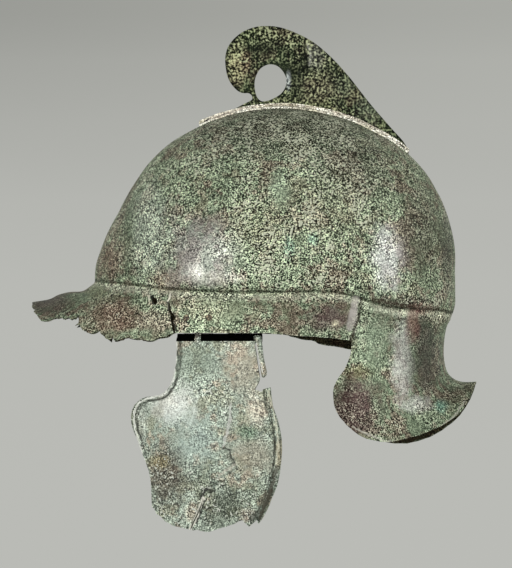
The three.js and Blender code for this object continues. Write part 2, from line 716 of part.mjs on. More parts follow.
for (const side of ['left', 'right']) {
  const isLeft = side === 'left';
  const shaped = (shape) => (isLeft ? shape : mirrored(shape));
  const sided = (seat) => (isLeft ? seat : flipped(seat));
  addPiece(helmet, `crest_foot_${side}`, shaped(footShape), paleBronze);
  addPiece(helmet, `hinge_leaf_${side}`, shaped(leafShape), brownBronze);
  for (const end of ['front', 'rear']) {
    const name = `${end}_${side}`;
    addRivet(`crest_rivet_${name}`, crestRivetShape, sided(crestSeats[end]), footSheet + seatGap);
    addRivet(`hinge_rivet_${name}`, hingeRivetShape, sided(hingeSeats[end]), 0);
  }
  const hinge = new THREE.Group();
  hinge.position.set(hingeAt.x, isLeft ? hingeAt.y : -hingeAt.y, hingeAt.z);
  hinge.rotation.z = isLeft ? -hingeAngle : hingeAngle;
  addPiece(hinge, `hinge_pin_${side}`, pinShape, brownBronze);
  addPiece(hinge, `cheekpiece_${side}`, shaped(cheekShape), cheekBronze);
  helmet.add(hinge);
}

export default helmet;
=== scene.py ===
# %% [markdown]
# # An ancient bronze helmet
# The helmet is a bowl hammered up from one sheet of bronze. It has a ragged peak, a flared neck guard, a
# pierced crest plate that stands on two riveted feet, and two hinged cheekpieces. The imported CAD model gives
# every part its place. This script builds the finer shapes and the patina around it, in metres.

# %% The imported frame
import math

import bpy
import numpy as np
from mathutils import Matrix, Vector, noise


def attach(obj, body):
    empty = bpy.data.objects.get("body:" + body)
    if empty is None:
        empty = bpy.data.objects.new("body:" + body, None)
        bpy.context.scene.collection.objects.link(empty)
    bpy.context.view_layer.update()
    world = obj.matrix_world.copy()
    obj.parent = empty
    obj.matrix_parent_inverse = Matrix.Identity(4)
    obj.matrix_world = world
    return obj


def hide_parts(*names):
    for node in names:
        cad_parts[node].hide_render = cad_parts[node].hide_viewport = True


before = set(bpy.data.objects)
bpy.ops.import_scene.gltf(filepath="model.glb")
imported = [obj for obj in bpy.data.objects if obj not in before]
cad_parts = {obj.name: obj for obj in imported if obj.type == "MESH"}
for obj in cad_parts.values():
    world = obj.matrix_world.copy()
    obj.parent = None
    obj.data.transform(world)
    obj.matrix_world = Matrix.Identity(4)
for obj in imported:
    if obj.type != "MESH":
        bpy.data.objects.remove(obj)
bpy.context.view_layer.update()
MM = 0.001

# %% [markdown]
# The photograph looks at the helmet's left side from almost level, through a long lens. One pixel there is
# 0.67 mm on the helmet, so the picture's 568 rows are 381 mm. A far camera with a long lens keeps the near
# and far sides at nearly the same scale.

# %% The camera
PIXEL = 0.67 * MM
PHOTO_ROWS = 568
VIEW_CENTRE = Vector((-12.73, 0, 34.84)) * MM
CAMERA_DISTANCE = 12.0
CAMERA_RISE = math.radians(-0.5)
SENSOR = 36.0

camera = bpy.data.objects.new("camera", bpy.data.cameras.new("camera"))
bpy.context.scene.collection.objects.link(camera)
camera.data.sensor_width = SENSOR
camera.data.lens = SENSOR * CAMERA_DISTANCE / (PHOTO_ROWS * PIXEL)
camera.data.clip_end = 5 * CAMERA_DISTANCE
back = Vector((0, -math.cos(CAMERA_RISE), math.sin(CAMERA_RISE)))
camera.location = VIEW_CENTRE + back * CAMERA_DISTANCE
camera.rotation_euler = (-back).to_track_quat("-Z", "Y").to_euler()
bpy.context.scene.camera = camera
bpy.context.scene.view_settings.view_transform = "Standard"
print("lens in mm:", round(camera.data.lens))

# %% [markdown]
# Colours are written as a painter reads them from a picture, from 0 to 255, and Blender wants them linear.
# The world and the finishes are built from nodes, and a few steps come back all the time: a node with its
# sockets filled, a sum, a mix of two colours and a smooth step. Each of them gets a short helper.

# %% Colours and nodes
def paint(red, green, blue):
    """A colour as a painter's 0 to 255 values, turned into Blender's linear ones."""
    def linear(value):
        return value / 255 / 12.92 if value < 10 else ((value / 255 + 0.055) / 1.055) ** 2.4

    return linear(red), linear(green), linear(blue), 1


def grey(level):
    """An even grey, as Blender's own linear value."""
    return level, level, level, 1


def add(tree, kind, sockets=(), **settings):
    """Adds a node, sets it up, and fills its sockets with links or with plain values."""
    made = tree.nodes.new(kind)
    for name, value in settings.items():
        setattr(made, name, value)
    for name, value in dict(sockets).items():
        if isinstance(value, bpy.types.NodeSocket):
            tree.links.new(value, made.inputs[name])
        else:
            made.inputs[name].default_value = value
    return made


def maths(tree, operation, *values):
    return add(tree, "ShaderNodeMath", enumerate(values), operation=operation).outputs[0]


def times(tree, first, second, plus=None):
    """The product of two values, or where a third is given, the product with that one added."""
    if plus is None:
        return maths(tree, "MULTIPLY", first, second)
    return maths(tree, "MULTIPLY_ADD", first, second, plus)


def mixed(tree, share, first, second, blend="MIX"):
    made = add(tree, "ShaderNodeMix", {0: share, 6: first, 7: second}, data_type="RGBA", blend_type=blend)
    return made.outputs[2]


def rising(tree, value, low, high, out_low=0.0, out_high=1.0):
    """A smooth step from one value to another."""
    made = add(tree, "ShaderNodeMapRange", {0: value, 1: low, 2: high, 3: out_low, 4: out_high},
               interpolation_type="SMOOTHSTEP")
    return made.outputs[0]


print("a painter's 128 is", round(paint(128, 128, 128)[0], 3), "in Blender")

# %% [markdown]
# The world lights the helmet with an even grey surround, a little darker from above. The camera and the
# reflections see a backdrop in its place: a gradient of greys by height, which is paler at the picture's
# upper right. A large lit wall would look the same, but it would also change how the bronze is lit.

# %% The world
SURROUND = 0.42
SURROUND_FROM_ABOVE = 0.7
RIGHT_GLOW = 1.24
BACKDROP_HEIGHTS = (-0.008, 0.026)
BACKDROP_STOPS = [
    (0.0, (186, 187, 182)), (0.49, (184, 185, 180)), (0.69, (180, 181, 176)), (0.855, (171, 172, 167)),
    (0.946, (163, 164, 159)), (0.99, (154, 155, 150)),
]

world = bpy.data.worlds.new("studio")
bpy.context.scene.world = world
world.use_nodes = True
sky = world.node_tree
sky.nodes.clear()
direction = add(sky, "ShaderNodeTexCoord").outputs["Generated"]
heading = add(sky, "ShaderNodeSeparateXYZ", {0: direction}).outputs
gradient = add(sky, "ShaderNodeValToRGB", {0: rising(sky, heading["Z"], *BACKDROP_HEIGHTS)})
stops = gradient.color_ramp.elements
for index, (place, colour) in enumerate(BACKDROP_STOPS):
    stop = stops[index] if index < 2 else stops.new(place)
    stop.position, stop.color = place, paint(*colour)
high = rising(sky, heading["Z"], 0.008, 0.026, 0.1, 1.0)
upper_right = times(sky, rising(sky, heading["X"], -0.02, 0.02), times(sky, high, high))
backdrop = mixed(sky, upper_right, gradient.outputs[0], grey(RIGHT_GLOW), "MULTIPLY")
overhead = rising(sky, heading["Z"], 0.1, 0.9)
surround = mixed(sky, overhead, grey(SURROUND), grey(SURROUND * SURROUND_FROM_ABOVE))
rays = add(sky, "ShaderNodeLightPath").outputs
mirrored = maths(sky, "MAXIMUM", rays["Is Glossy Ray"], rays["Is Transmission Ray"])
seen = maths(sky, "MAXIMUM", rays["Is Camera Ray"], mirrored)
light = add(sky, "ShaderNodeBackground", {"Color": mixed(sky, seen, surround, backdrop)})
add(sky, "ShaderNodeOutputWorld", {"Surface": light.outputs[0]})
print("world:", len(sky.nodes), "nodes")

# %% [markdown]
# The floor is a plain pale disc, well below the helmet. Two soft boxes stand at the picture's left and right,
# because wide lamps give the bronze broad, quiet highlights, where small ones would make it glitter.

# %% The floor and the soft boxes
FLOOR_Z = -0.2
FLOOR_RADIUS = 2.4
LAMP_DISTANCE = 2.0
LAMP_AIM = Vector((0, 0, 0.05))

bpy.ops.object.select_all(action="DESELECT")
bpy.ops.mesh.primitive_circle_add(vertices=96, radius=FLOOR_RADIUS, fill_type="NGON")
floor = bpy.context.object
floor.name = "floor"
for vertex in floor.data.vertices:
    vertex.co.z = FLOOR_Z
floor_paint = bpy.data.materials.new("pale_floor")
floor_paint.use_nodes = True
floor_shader = floor_paint.node_tree.nodes["Principled BSDF"]
floor_shader.inputs["Base Color"].default_value = paint(200, 200, 195)
floor_shader.inputs["Roughness"].default_value = 0.9
floor.data.materials.append(floor_paint)


def soft_box(name, direction, width, height, watts):
    """An area light that faces the helmet from a direction."""
    lamp = bpy.data.lights.new(name, "AREA")
    lamp.shape = "RECTANGLE"
    lamp.size, lamp.size_y, lamp.energy = width, height, watts
    box = bpy.data.objects.new(name, lamp)
    away = Vector(direction).normalized()
    box.location = away * LAMP_DISTANCE + LAMP_AIM
    box.rotation_euler = away.to_track_quat("Z", "Y").to_euler()
    bpy.context.scene.collection.objects.link(box)


soft_box("left_box", (-0.47, -0.88, 0.19), 1.2, 1.3, 24)
soft_box("right_box", (0.88, -0.47, 0.1), 0.8, 1.3, 19)
print("lamps:", [lamp.name for lamp in bpy.data.lights])

# %% [markdown]
# Most steps act on one piece. The first helper makes that piece the only selected and active one, because an
# operator acts on all that is selected. The others apply a modifier, merge doubled corners and shade the
# result, as one would by hand.

# %% Helpers for pieces
DOUBLED = 0.01 * MM
SHARP_ANGLE = math.radians(40)


def only(piece):
    """Makes a piece the only selected one, and active."""
    bpy.ops.object.select_all(action="DESELECT")
    piece.select_set(True)
    bpy.context.view_layer.objects.active = piece


def applied(piece, kind, **settings):
    """Adds a modifier with its settings and applies it."""
    only(piece)
    modifier = piece.modifiers.new(kind, kind)
    for name, value in settings.items():
        setattr(modifier, name, value)
    bpy.ops.object.modifier_apply(modifier=modifier.name)


def closed_up(piece):
    """Merges doubled corners and turns every face outwards."""
    only(piece)
    bpy.ops.object.mode_set(mode="EDIT")
    bpy.ops.mesh.select_all(action="SELECT")
    bpy.ops.mesh.remove_doubles(threshold=DOUBLED)
    bpy.ops.mesh.normals_make_consistent(inside=False)
    bpy.ops.object.mode_set(mode="OBJECT")


def smoothed(piece):
    only(piece)
    bpy.ops.object.shade_smooth_by_angle(angle=SHARP_ANGLE)


def triangles(piece):
    return sum(len(face.vertices) - 2 for face in piece.data.polygons)


# %% [markdown]
# Hammered bronze has no straight lines, so its pieces start as grids whose corners are moved by a formula.
# That is quick when all corners are read and written at once, as one array. Outlines are easier listed: a list
# of points, seen from the side, becomes a solid that cuts a piece to shape.

# %% Helpers for corners
def corners(piece):
    """All corners of a mesh as an array."""
    places = np.empty(len(piece.data.vertices) * 3)
    piece.data.vertices.foreach_get("co", places)
    return places.reshape(-1, 3)


def corner_normals(piece):
    normals = np.empty(len(piece.data.vertices) * 3)
    piece.data.vertices.foreach_get("normal", normals)
    return normals.reshape(-1, 3)


def move_corners(piece, places):
    piece.data.vertices.foreach_set("co", np.ascontiguousarray(places).ravel())
    piece.data.update()


def grid(name, columns, rows):
    """A flat grid, and each corner's share of the way across and up it."""
    bpy.ops.object.select_all(action="DESELECT")
    bpy.ops.mesh.primitive_grid_add(x_subdivisions=columns, y_subdivisions=rows, size=2)
    piece = bpy.context.object
    piece.name = name
    shares = (corners(piece)[:, :2] + 1) / 2
    return piece, shares[:, 0], shares[:, 1]


# %% Helpers for cuts
def side_prism(name, outline, near_y, far_y):
    """A solid with an outline seen from the side, in mm. A filled circle's corners are moved to the outline,
    and its face is extruded across the helmet."""
    bpy.ops.object.select_all(action="DESELECT")
    bpy.ops.mesh.primitive_circle_add(vertices=len(outline), fill_type="NGON")
    prism = bpy.context.object
    prism.name = name
    flat = np.array(outline, float) * MM
    move_corners(prism, np.column_stack([flat[:, 0], np.full(len(flat), near_y * MM), flat[:, 1]]))
    bpy.ops.object.mode_set(mode="EDIT")
    bpy.ops.mesh.select_all(action="SELECT")
    bpy.ops.mesh.extrude_region_move(TRANSFORM_OT_translate={"value": (0, (far_y - near_y) * MM, 0)})
    bpy.ops.object.mode_set(mode="OBJECT")
    closed_up(prism)
    return prism


def cut(piece, tool, how="DIFFERENCE"):
    """Cuts a piece with another one, which is used up."""
    applied(piece, "BOOLEAN", operation=how, object=tool, solver="EXACT")
    bpy.data.objects.remove(tool)


# %% Helpers for uneven surfaces
def unevenness(places, size, seed):
    """Smooth noise at places in metres, about -1 to 1, with lumps of a size in mm."""
    shift = Vector((seed * 17.3, seed * 5.1, seed * 9.7))
    return np.array([noise.noise(Vector(place) / (size * MM) + shift) for place in places])


def smooth_step(value, low, high):
    share = np.clip((value - low) / (high - low), 0, 1)
    return share * share * (3 - 2 * share)


print("halfway up a smooth step:", smooth_step(0.5, 0, 1))

# %% [markdown]
# The bowl was hammered up from a flat disc, and its section changes all the way round. A sphere pushed about
# would not follow it. So a flat grid is wrapped: across it runs the turn round the head from the front, and
# up it runs the way from the crown to the lower edge. The tables are the ones of the CAD model: shares of the
# bowl's lengths above the groove, and below it how far the skirt reaches out and drops on nine meridians.

# %% The bowl's tables
CROWN_X, CROWN_Z = 5, 152.6
FRONT_LENGTH, BACK_LENGTH, HALF_WIDTH = 125.6, 115.6, 96.5
SHEET = 1.4
HEIGHTS = [0.985, 0.94, 0.88, 0.8, 0.7, 0.6, 0.5, 0.4, 0.3, 0.2, 0.1, 0.04, 0]
FRONTS = [0.17, 0.345, 0.47, 0.595, 0.696, 0.768, 0.826, 0.874, 0.922, 0.962, 0.993, 1, 1]
SIDES = [0.18, 0.36, 0.5, 0.63, 0.75, 0.83, 0.89, 0.935, 0.967, 0.988, 1, 1, 0.985]
BACKS = [0.19, 0.385, 0.54, 0.695, 0.815, 0.89, 0.945, 0.98, 1, 1, 1, 1, 0.99]
TURNS = [0, 22, 42, 62, 90, 112, 134, 158, 180]
GROOVES = [37, 35.5, 32, 29.5, 29, 28.5, 19.5, 17, 16]
REACHES = [46, 40, 13.5, 3, 5, 8, 11, 17, 22]
DROPS = [16, 37, 45, 56, 88, 98, 97, 84, 47]
OUT_SHARES = [
    [0.01, 0.054, 0.18, 0.37, 0.53, 0.65, 0.8, 1],
    [-0.01, 0.04, 0.15, 0.33, 0.5, 0.68, 0.83, 1],
    [-0.12, 0.02, 0.11, 0.26, 0.44, 0.63, 0.81, 1],
    [-0.6, 0.1, 0, 0.07, 0.2, 0.33, 0.67, 1],
    [-0.4, 0.06, -0.12, -0.2, -0.2, -0.16, 0.1, 1],
    [-0.25, 0.03, -0.11, -0.2, -0.2, -0.12, 0.19, 1],
    [-0.14, -0.07, -0.23, -0.36, -0.45, -0.36, 0.09, 1],
    [-0.065, -0.08, -0.2, -0.3, -0.33, -0.22, 0.12, 1],
    [-0.04, -0.09, -0.2, -0.28, -0.27, -0.12, 0.28, 1],
]
DOWN_SHARES = [
    [0.1, 0.2, 0.425, 0.463, 0.575, 0.75, 0.84, 0.94],
    [0.05, 0.12, 0.23, 0.36, 0.51, 0.69, 0.84, 1],
    [0.05, 0.11, 0.22, 0.38, 0.53, 0.69, 0.84, 1],
    [0.04, 0.1, 0.18, 0.32, 0.48, 0.64, 0.82, 1],
    [0.023, 0.063, 0.114, 0.2, 0.31, 0.48, 0.74, 1],
    [0.02, 0.056, 0.1, 0.18, 0.3, 0.49, 0.73, 1],
    [0.02, 0.057, 0.1, 0.2, 0.37, 0.57, 0.78, 1],
    [0.024, 0.063, 0.12, 0.24, 0.4, 0.58, 0.76, 1],
    [0.04, 0.11, 0.21, 0.45, 0.7, 0.895, 0.99, 0.975],
]


def between_meridians(turns, rows):
    """Blends one row of values per meridian to other turns, level at the front and the back."""
    places = np.array(TURNS, float)
    values = np.array(rows, float).reshape(len(TURNS), -1)
    upper = np.clip(np.searchsorted(places, turns), 1, len(places) - 1)
    lower = upper - 1
    slopes = np.zeros_like(values)
    slopes[1:-1] = (values[2:] - values[:-2]) / (places[2:] - places[:-2])[:, None]
    span = (places[upper] - places[lower])[:, None]
    share = (turns - places[lower])[:, None] / span
    rise = values[upper] - values[lower]
    start, end = slopes[lower] * span, slopes[upper] * span
    bend = 3 * rise - 2 * start - end + share * (start + end - 2 * rise)
    return values[lower] + share * (start + share * bend)


print("crown at", CROWN_Z, "mm, widest", 2 * HALF_WIDTH, "mm")

# %% [markdown]
# Between the tables' stations the section is a smooth curve through the points, so the bowl shows no facets.
# Its samples are then spread evenly along it, so many above the groove and so many below.

# %% The bowl's sections
SAMPLES = 12
UPPER_ROWS, LOWER_ROWS = 80, 56


def curve_through(points):
    """A Catmull-Rom curve through rows of points, a few samples for each span."""
    padded = np.concatenate([points[:1] * [-1, 1], points, 2 * points[-1:] - points[-2:-1]])
    padded[0] = points[1] * [-1, 1]
    share = np.arange(SAMPLES)[:, None] / SAMPLES
    parts = []
    for a, b, c, d in zip(padded, padded[1:], padded[2:], padded[3:]):
        bend = 2 * a - 5 * b + 4 * c - d + share * (3 * (b - c) + d - a)
        parts.append(b + share / 2 * (c - a + share * bend))
    return np.concatenate(parts + [points[-1:]])


def evenly(curve, count):
    """Points spread evenly along a curve."""
    lengths = np.concatenate([[0], np.cumsum(np.hypot(*np.diff(curve, axis=0).T))])
    places = np.linspace(0, lengths[-1], count)
    return np.column_stack([np.interp(places, lengths, curve[:, i]) for i in (0, 1)])


def section(turn):
    """Radius and height from the crown to the lower edge at one turn, in mm."""
    folded = 360 - turn if turn > 180 else turn
    angle = math.radians(turn)
    at = np.array([folded], float)
    groove = between_meridians(at, GROOVES)[0, 0]
    out = between_meridians(at, np.array(REACHES)[:, None] * OUT_SHARES)[0]
    down = between_meridians(at, np.array(DROPS)[:, None] * DOWN_SHARES)[0]
    along = FRONT_LENGTH * np.array(FRONTS) if folded < 90 else BACK_LENGTH * np.array(BACKS)
    radius = 1 / np.hypot(math.cos(angle) / along, math.sin(angle) / (HALF_WIDTH * np.array(SIDES)))
    upper = np.column_stack([radius, groove + (CROWN_Z - groove) * np.array(HEIGHTS)])
    lower = np.column_stack([radius[-1] + out, groove - down])
    points = np.concatenate([[[0, CROWN_Z]], upper, lower])
    curve = curve_through(points)
    split = len(upper) * SAMPLES
    above, under = curve[:split + 1], curve[split:]
    return np.concatenate([evenly(above, UPPER_ROWS + 1), evenly(under, LOWER_ROWS + 1)[1:]])


print("a front section:", len(section(0)), "points")

# %% [markdown]
# The near side gets narrow columns, because the camera is there, and the far side gets wider ones. The hammer
# left the sheet slightly uneven, and along the neck guard's front edge it swells and stands proud. Each corner
# also remembers how far below the groove it lies, for the line of painted shade and the pale painted highlight
# that the finish has there. Solidify adds the inner corners after the outer ones, so a second mask marks the
# inside, which gets painted shade.

# %% Wrapping the bowl
NEAR_COLUMNS, FAR_COLUMNS = 200, 100

near_turns = np.linspace(0, 180, NEAR_COLUMNS, endpoint=False)
turns = np.concatenate([near_turns, np.linspace(180, 360, FAR_COLUMNS + 1)])
sections = np.array([section(turn) for turn in turns])
bowl, across, up = grid("bronze_bowl", len(turns) - 1, UPPER_ROWS + LOWER_ROWS)
column = np.rint(across * (len(turns) - 1)).astype(int)
row = np.rint((1 - up) * (UPPER_ROWS + LOWER_ROWS)).astype(int)
radius, height = sections[column, row].T
angle = np.radians(turns[column])
move_corners(bowl, np.column_stack([CROWN_X - radius * np.cos(angle), -radius * np.sin(angle), height]) * MM)
steps = np.hypot(*np.moveaxis(np.diff(sections, axis=1), 2, 0))
run = np.concatenate([np.zeros((len(sections), 1)), np.cumsum(steps, axis=1)], axis=1)
below_groove = bowl.data.attributes.new("below_groove", "FLOAT", "POINT")
below_groove.data.foreach_set("value", (run - run[:, [UPPER_ROWS]])[column, row] * MM)
closed_up(bowl)
print("bowl:", triangles(bowl), "triangles in one face")

# %% The bowl's hammered sheet
GUARD_EDGE = [(-12, 50), (1, 52.8), (12, 54.8), (24, 58)]
GUARD_STEP, GUARD_SWELL = 1.5, 9
WIDE_DENTS, SMALL_DENTS = 0.35, 0.14

places = corners(bowl)
side_x, side_z = places[:, 0] / MM, places[:, 2] / MM
edge_x = np.interp(side_z, *np.array(GUARD_EDGE).T)
swell = np.clip(1 - (edge_x - side_x) / GUARD_SWELL, 0, 1) ** 2 * (1 - smooth_step(side_x, 58, 100))
swell *= 1 - smooth_step(side_z, 17, 25)
lift = GUARD_STEP * swell + WIDE_DENTS * unevenness(places, 24, 1) + SMALL_DENTS * unevenness(places, 8, 2)
move_corners(bowl, places + corner_normals(bowl) * (lift * MM)[:, None])
outer_corners = len(bowl.data.vertices)
applied(bowl, "SOLIDIFY", thickness=SHEET * MM, offset=-1, use_even_offset=True)
inside = bowl.data.attributes.new("inside", "FLOAT", "POINT")
inside.data.foreach_set("value", (np.arange(len(bowl.data.vertices)) >= outer_corners).astype(float))
print("bowl:", triangles(bowl), "triangles before it is trimmed")

# %% [markdown]
# The peak and the rim are torn and corroded. Their lower edge is measured from the side, in mm, and
# everything below it is cut away. The two sides of the real helmet differ a little, so each has its own edge.

# %% The ragged lower edge
TIP_EDGE = [
    (-162.1, 22.1), (-162.7, 19.4), (-161.7, 18), (-160, 17.7), (-161.7, 16.3), (-160, 14.7), (-157.3, 11.3),
    (-155.3, 9.6), (-151.9, 9.9), (-149.2, 11.3), (-145.2, 11.6), (-142.5, 12.3), (-141.2, 10.9),
    (-138.5, 11.9), (-136.4, 10.9), (-133.8, 11.6), (-131.1, 12.9),
]
FLAP_EDGE = [
    (-130.8, 10.4), (-131.4, 8), (-133.4, 6.3), (-130.1, 6.9), (-129.4, 5), (-128.1, 3.3), (-126.4, 3.6),
    (-125.4, 2), (-122, 1.6), (-119.4, 2.6), (-118, 4), (-116.7, 2.9), (-116, 0.9), (-114, -0.1),
    (-112.7, -1.7), (-110, -3.6), (-109.2, -1.1), (-108.3, -0.5), (-108, -3.4), (-106, -3.6), (-103.3, -2.6),
    (-100.6, -1.8), (-98.6, -1.5), (-94.6, -2.3), (-89.9, -2.6), (-85.9, -3.1), (-82.6, -3.5), (-79.3, -2.3),
    (-76.6, -1.3), (-72.6, -0.7), (-69.9, 0.6), (-68.3, 1.8),
]
NEAR_RIM = [
    (-65.9, 1.7), (-56.6, 1.5), (-46.6, 1.7), (-36.7, 1.3), (-23.4, 1.5), (-8.7, 1.5), (-0.1, 0.8),
    (9.9, -0.1), (18.5, -0.7), (24.5, -0.9), (31.1, -1.6), (38.5, -2), (44.4, -2.8), (50.4, -3.6),
]
FAR_RIM = [
    (-66.7, 2.5), (-50.5, 2.6), (-30.3, 2.2), (-8.7, 2.2), (3.5, 1.7), (9.5, 0.7), (10.2, 0.1), (18.3, -1.9),
    (24.4, -2.6), (27.1, -3.2), (29.1, -4.6), (30.5, -5.2), (40.6, -6.7), (51.4, -8.8),
]
NEAR_GUARD = [
    (51.1, -6.5), (50.1, -12.5), (48.4, -17.8), (45.8, -23.1), (43.1, -26.8), (40.8, -30.5), (39.1, -34.4),
    (38.5, -37.8), (38.5, -41.1), (39.1, -46.4), (40.8, -50.4), (43.1, -54.7), (47.1, -59.4), (51.1, -63),
    (55.1, -66), (61.1, -69), (69.8, -70.7), (75.8, -70.9), (81.8, -70), (89.1, -68.3), (96.4, -66.4),
    (103.8, -63.4), (110.5, -60.4), (117.2, -56.3), (122.6, -52.3), (126, -48.3), (129.1, -43.6),
    (131.9, -38.3), (133.6, -33.9), (134.7, -30.6),
]
FAR_GUARD = [
    (51.4, -9.2), (50.7, -13), (49.7, -17.4), (47.4, -22.8), (44.6, -26.5), (42.6, -30.2), (41.3, -33.9),
    (40.6, -38), (40.7, -41.3), (41.3, -46.1), (43.3, -50.1), (46, -54.5), (50, -58.9), (55.4, -63.9),
    (62.1, -67.7), (70.2, -70.1), (76.3, -71.4), (81, -72), (89, -72), (96.4, -70.5), (104.4, -67.7),
    (112.5, -63.1), (119.1, -58.2), (124.5, -52.9), (128.4, -47.2), (131.1, -42.1), (133.4, -36.8),
    (134.9, -30.4),
]
PEAK_TOP_Z = 60
CUT_REACH = 150
BEYOND_PEAK = -200
MEETING_Y = 0.3
TIP_TRIMS = {"front_trim": (-175, 8, -162.6, 40), "rear_trim": (134.8, -45, 150, -15)}


def ragged(points, step, depth, seed):
    """Breaks an outline into short steps and moves each a little."""
    points = np.array(points, float)
    result = []
    for start, end in zip(points, points[1:]):
        count = max(1, round(math.dist(start, end) / step))
        for i in range(count):
            place = start + (end - start) * i / count
            shake = [noise.noise(Vector((*place / 1.7, seed + turn))) for turn in (0.5, 40.5)]
            result.append(tuple(place + depth * np.array(shake)))
    return result + [tuple(points[-1])]


def below(rim, guard, seed):
    """The side-view outline of everything that the lower edge leaves out."""
    torn = ragged(TIP_EDGE + FLAP_EDGE, 1.5, 0.7, seed)
    edge = torn + ragged(rim, 4, 0.3, seed) + ragged(guard, 4, 0.25, seed)
    end_x, end_z = guard[-1]
    return [(TIP_EDGE[0][0], PEAK_TOP_Z), *edge, (end_x, end_z + 2), (CUT_REACH, end_z + 2),
            (CUT_REACH, -CUT_REACH), (BEYOND_PEAK, -CUT_REACH), (BEYOND_PEAK, PEAK_TOP_Z)]


# %% Cutting the lower edge
cut(bowl, side_prism("near_edge", below(NEAR_RIM, NEAR_GUARD, 1), -CUT_REACH, MEETING_Y))
cut(bowl, side_prism("far_edge", below(FAR_RIM, FAR_GUARD, 9), MEETING_Y, CUT_REACH))
for name, (low_x, low_z, high_x, high_z) in TIP_TRIMS.items():
    corner_places = [(low_x, low_z), (high_x, low_z), (high_x, high_z), (low_x, high_z)]
    cut(bowl, side_prism(name, corner_places, -6, 6))
print("bowl:", triangles(bowl), "triangles after the lower edge is cut")

# %% [markdown]
# The left of the peak has a small hole, and beside it a crack that runs up from the edge.

# %% The hole and the crack
PEAK_HOLE = [
    (-81.7, 23.5), (-81.3, 24.7), (-79.9, 25.1), (-78.7, 24.4), (-78.4, 22.8), (-78.9, 21.1), (-79.9, 20),
    (-80.7, 21.1),
]
PEAK_CRACK = [
    (-71, 21.5), (-70.2, 21.7), (-69.9, 19.5), (-69.3, 17.1), (-68.4, 14.8), (-66.9, 13.5), (-66.3, 11.8),
    (-66.9, 10.1), (-68.2, 9.5), (-67.9, 7.5), (-67.1, 5.5), (-66.6, 3.5), (-66.2, -0.5), (-68.1, -0.5),
    (-67.9, 2.8), (-68.6, 4.8), (-69.1, 7.5), (-69.4, 10.8), (-69.5, 13.5), (-70.4, 16.1),
]
cut(bowl, side_prism("peak_hole", PEAK_HOLE, -CUT_REACH, 0))
cut(bowl, side_prism("peak_crack", PEAK_CRACK, -CUT_REACH, 0))
smoothed(bowl)
print("bowl:", triangles(bowl), "triangles")

# %% [markdown]
# The crest is a flat plate with a curled front, a round hole and a long tail, about 2.4 mm thick. Its faces
# are not quite flat: corrosion has lifted a scale near the middle, which left a step, and rounded the rim. So
# the plate starts as two dense grids, set back near the outline by a rounding, and is then trimmed to the
# outline.

# %% The outline of the crest
CREST_OUTLINE = [
    (-50.3, 140.7), (-44.9, 144.1), (-35.5, 148.8), (-26.8, 152.4), (-20.8, 155.5), (-16.8, 157.5),
    (-15.1, 159.1), (-15.7, 161.2), (-17.8, 162.7), (-20.8, 162.7), (-23.5, 163.4), (-26.1, 165.2),
    (-28.8, 168.2), (-30.8, 171.5), (-32.2, 175.2), (-33, 179.6), (-33.4, 184.3), (-33.1, 188.3),
    (-32.2, 192), (-30.5, 195.3), (-28.1, 198.5), (-25.1, 201.3), (-21.8, 203.7), (-18.1, 205.5),
    (-14.4, 206.7), (-10.7, 207.5), (-6.7, 207.7), (-2.7, 207.7), (1.3, 207.2), (5.4, 206.3), (10.1, 204.7),
    (14.7, 202.8), (20.1, 200.2), (25.5, 197), (30.2, 193.5), (34.8, 189.5), (38.9, 185.6), (42.9, 181.4),
    (46.9, 176.8), (50.3, 172.9), (53.6, 168.7), (58.6, 162.2), (63.7, 155.7), (68.7, 149.8), (73.7, 144.1),
    (78.7, 138.4), (83.8, 132.9), (86.4, 129.7), (88.4, 126.3), (89.3, 122.8),
]
CREST_HOLE = [
    (-13.7, 168.2), (-13.3, 172.2), (-11.9, 176), (-10, 178.8), (-7.4, 180.8), (-4.4, 181.9), (-1.3, 181.9),
    (1.7, 180.8), (4, 178.9), (6, 176.2), (7.4, 172.9), (7.6, 169.5), (6.7, 166.2), (5, 163.5), (2.7, 161.3),
    (0, 159.7), (-2.7, 158.4), (-5.4, 157.5), (-8.4, 157.2), (-10.7, 158.4), (-12.3, 160.7), (-13.3, 164.2),
]
CREST_SHEET = 2.4
PLATE_CELL = 0.9
SEAT_GAP = 0.3


def rounded(points, closed=True):
    """A smooth curve through given points, three samples for each span."""
    points = np.array(points, float)
    if closed:
        padded = np.concatenate([points[-1:], points, points[:2]])
    else:
        padded = np.concatenate([points[:1], points, points[-1:]])
    result = []
    for a, b, c, d in zip(padded, padded[1:], padded[2:], padded[3:]):
        for share in (0, 1 / 3, 2 / 3):
            bend = 2 * a - 5 * b + 4 * c - d + share * (3 * (b - c) + d - a)
            result.append(tuple(b + share / 2 * (c - a + share * bend)))
    return result if closed else result + [tuple(points[-1])]


def distance_to(line, places):
    """How far each side-view place is from a line through points, all in mm."""
    line = np.array(line, float)
    nearest = np.full(len(places), np.inf)
    for start, end in zip(line, line[1:]):
        run = end - start
        share = np.clip((places - start) @ run / (run @ run), 0, 1)
        nearest = np.minimum(nearest, np.hypot(*(places - start - share[:, None] * run).T))
    return nearest


crown_line = np.array([(CROWN_X - r * side, z) for turn, side in ((0, 1), (180, -1))
                       for r, z in section(turn)[:UPPER_ROWS]])
crown_line = crown_line[np.argsort(crown_line[:, 0])]


def crown_height(x):
    return np.interp(x, *crown_line.T)
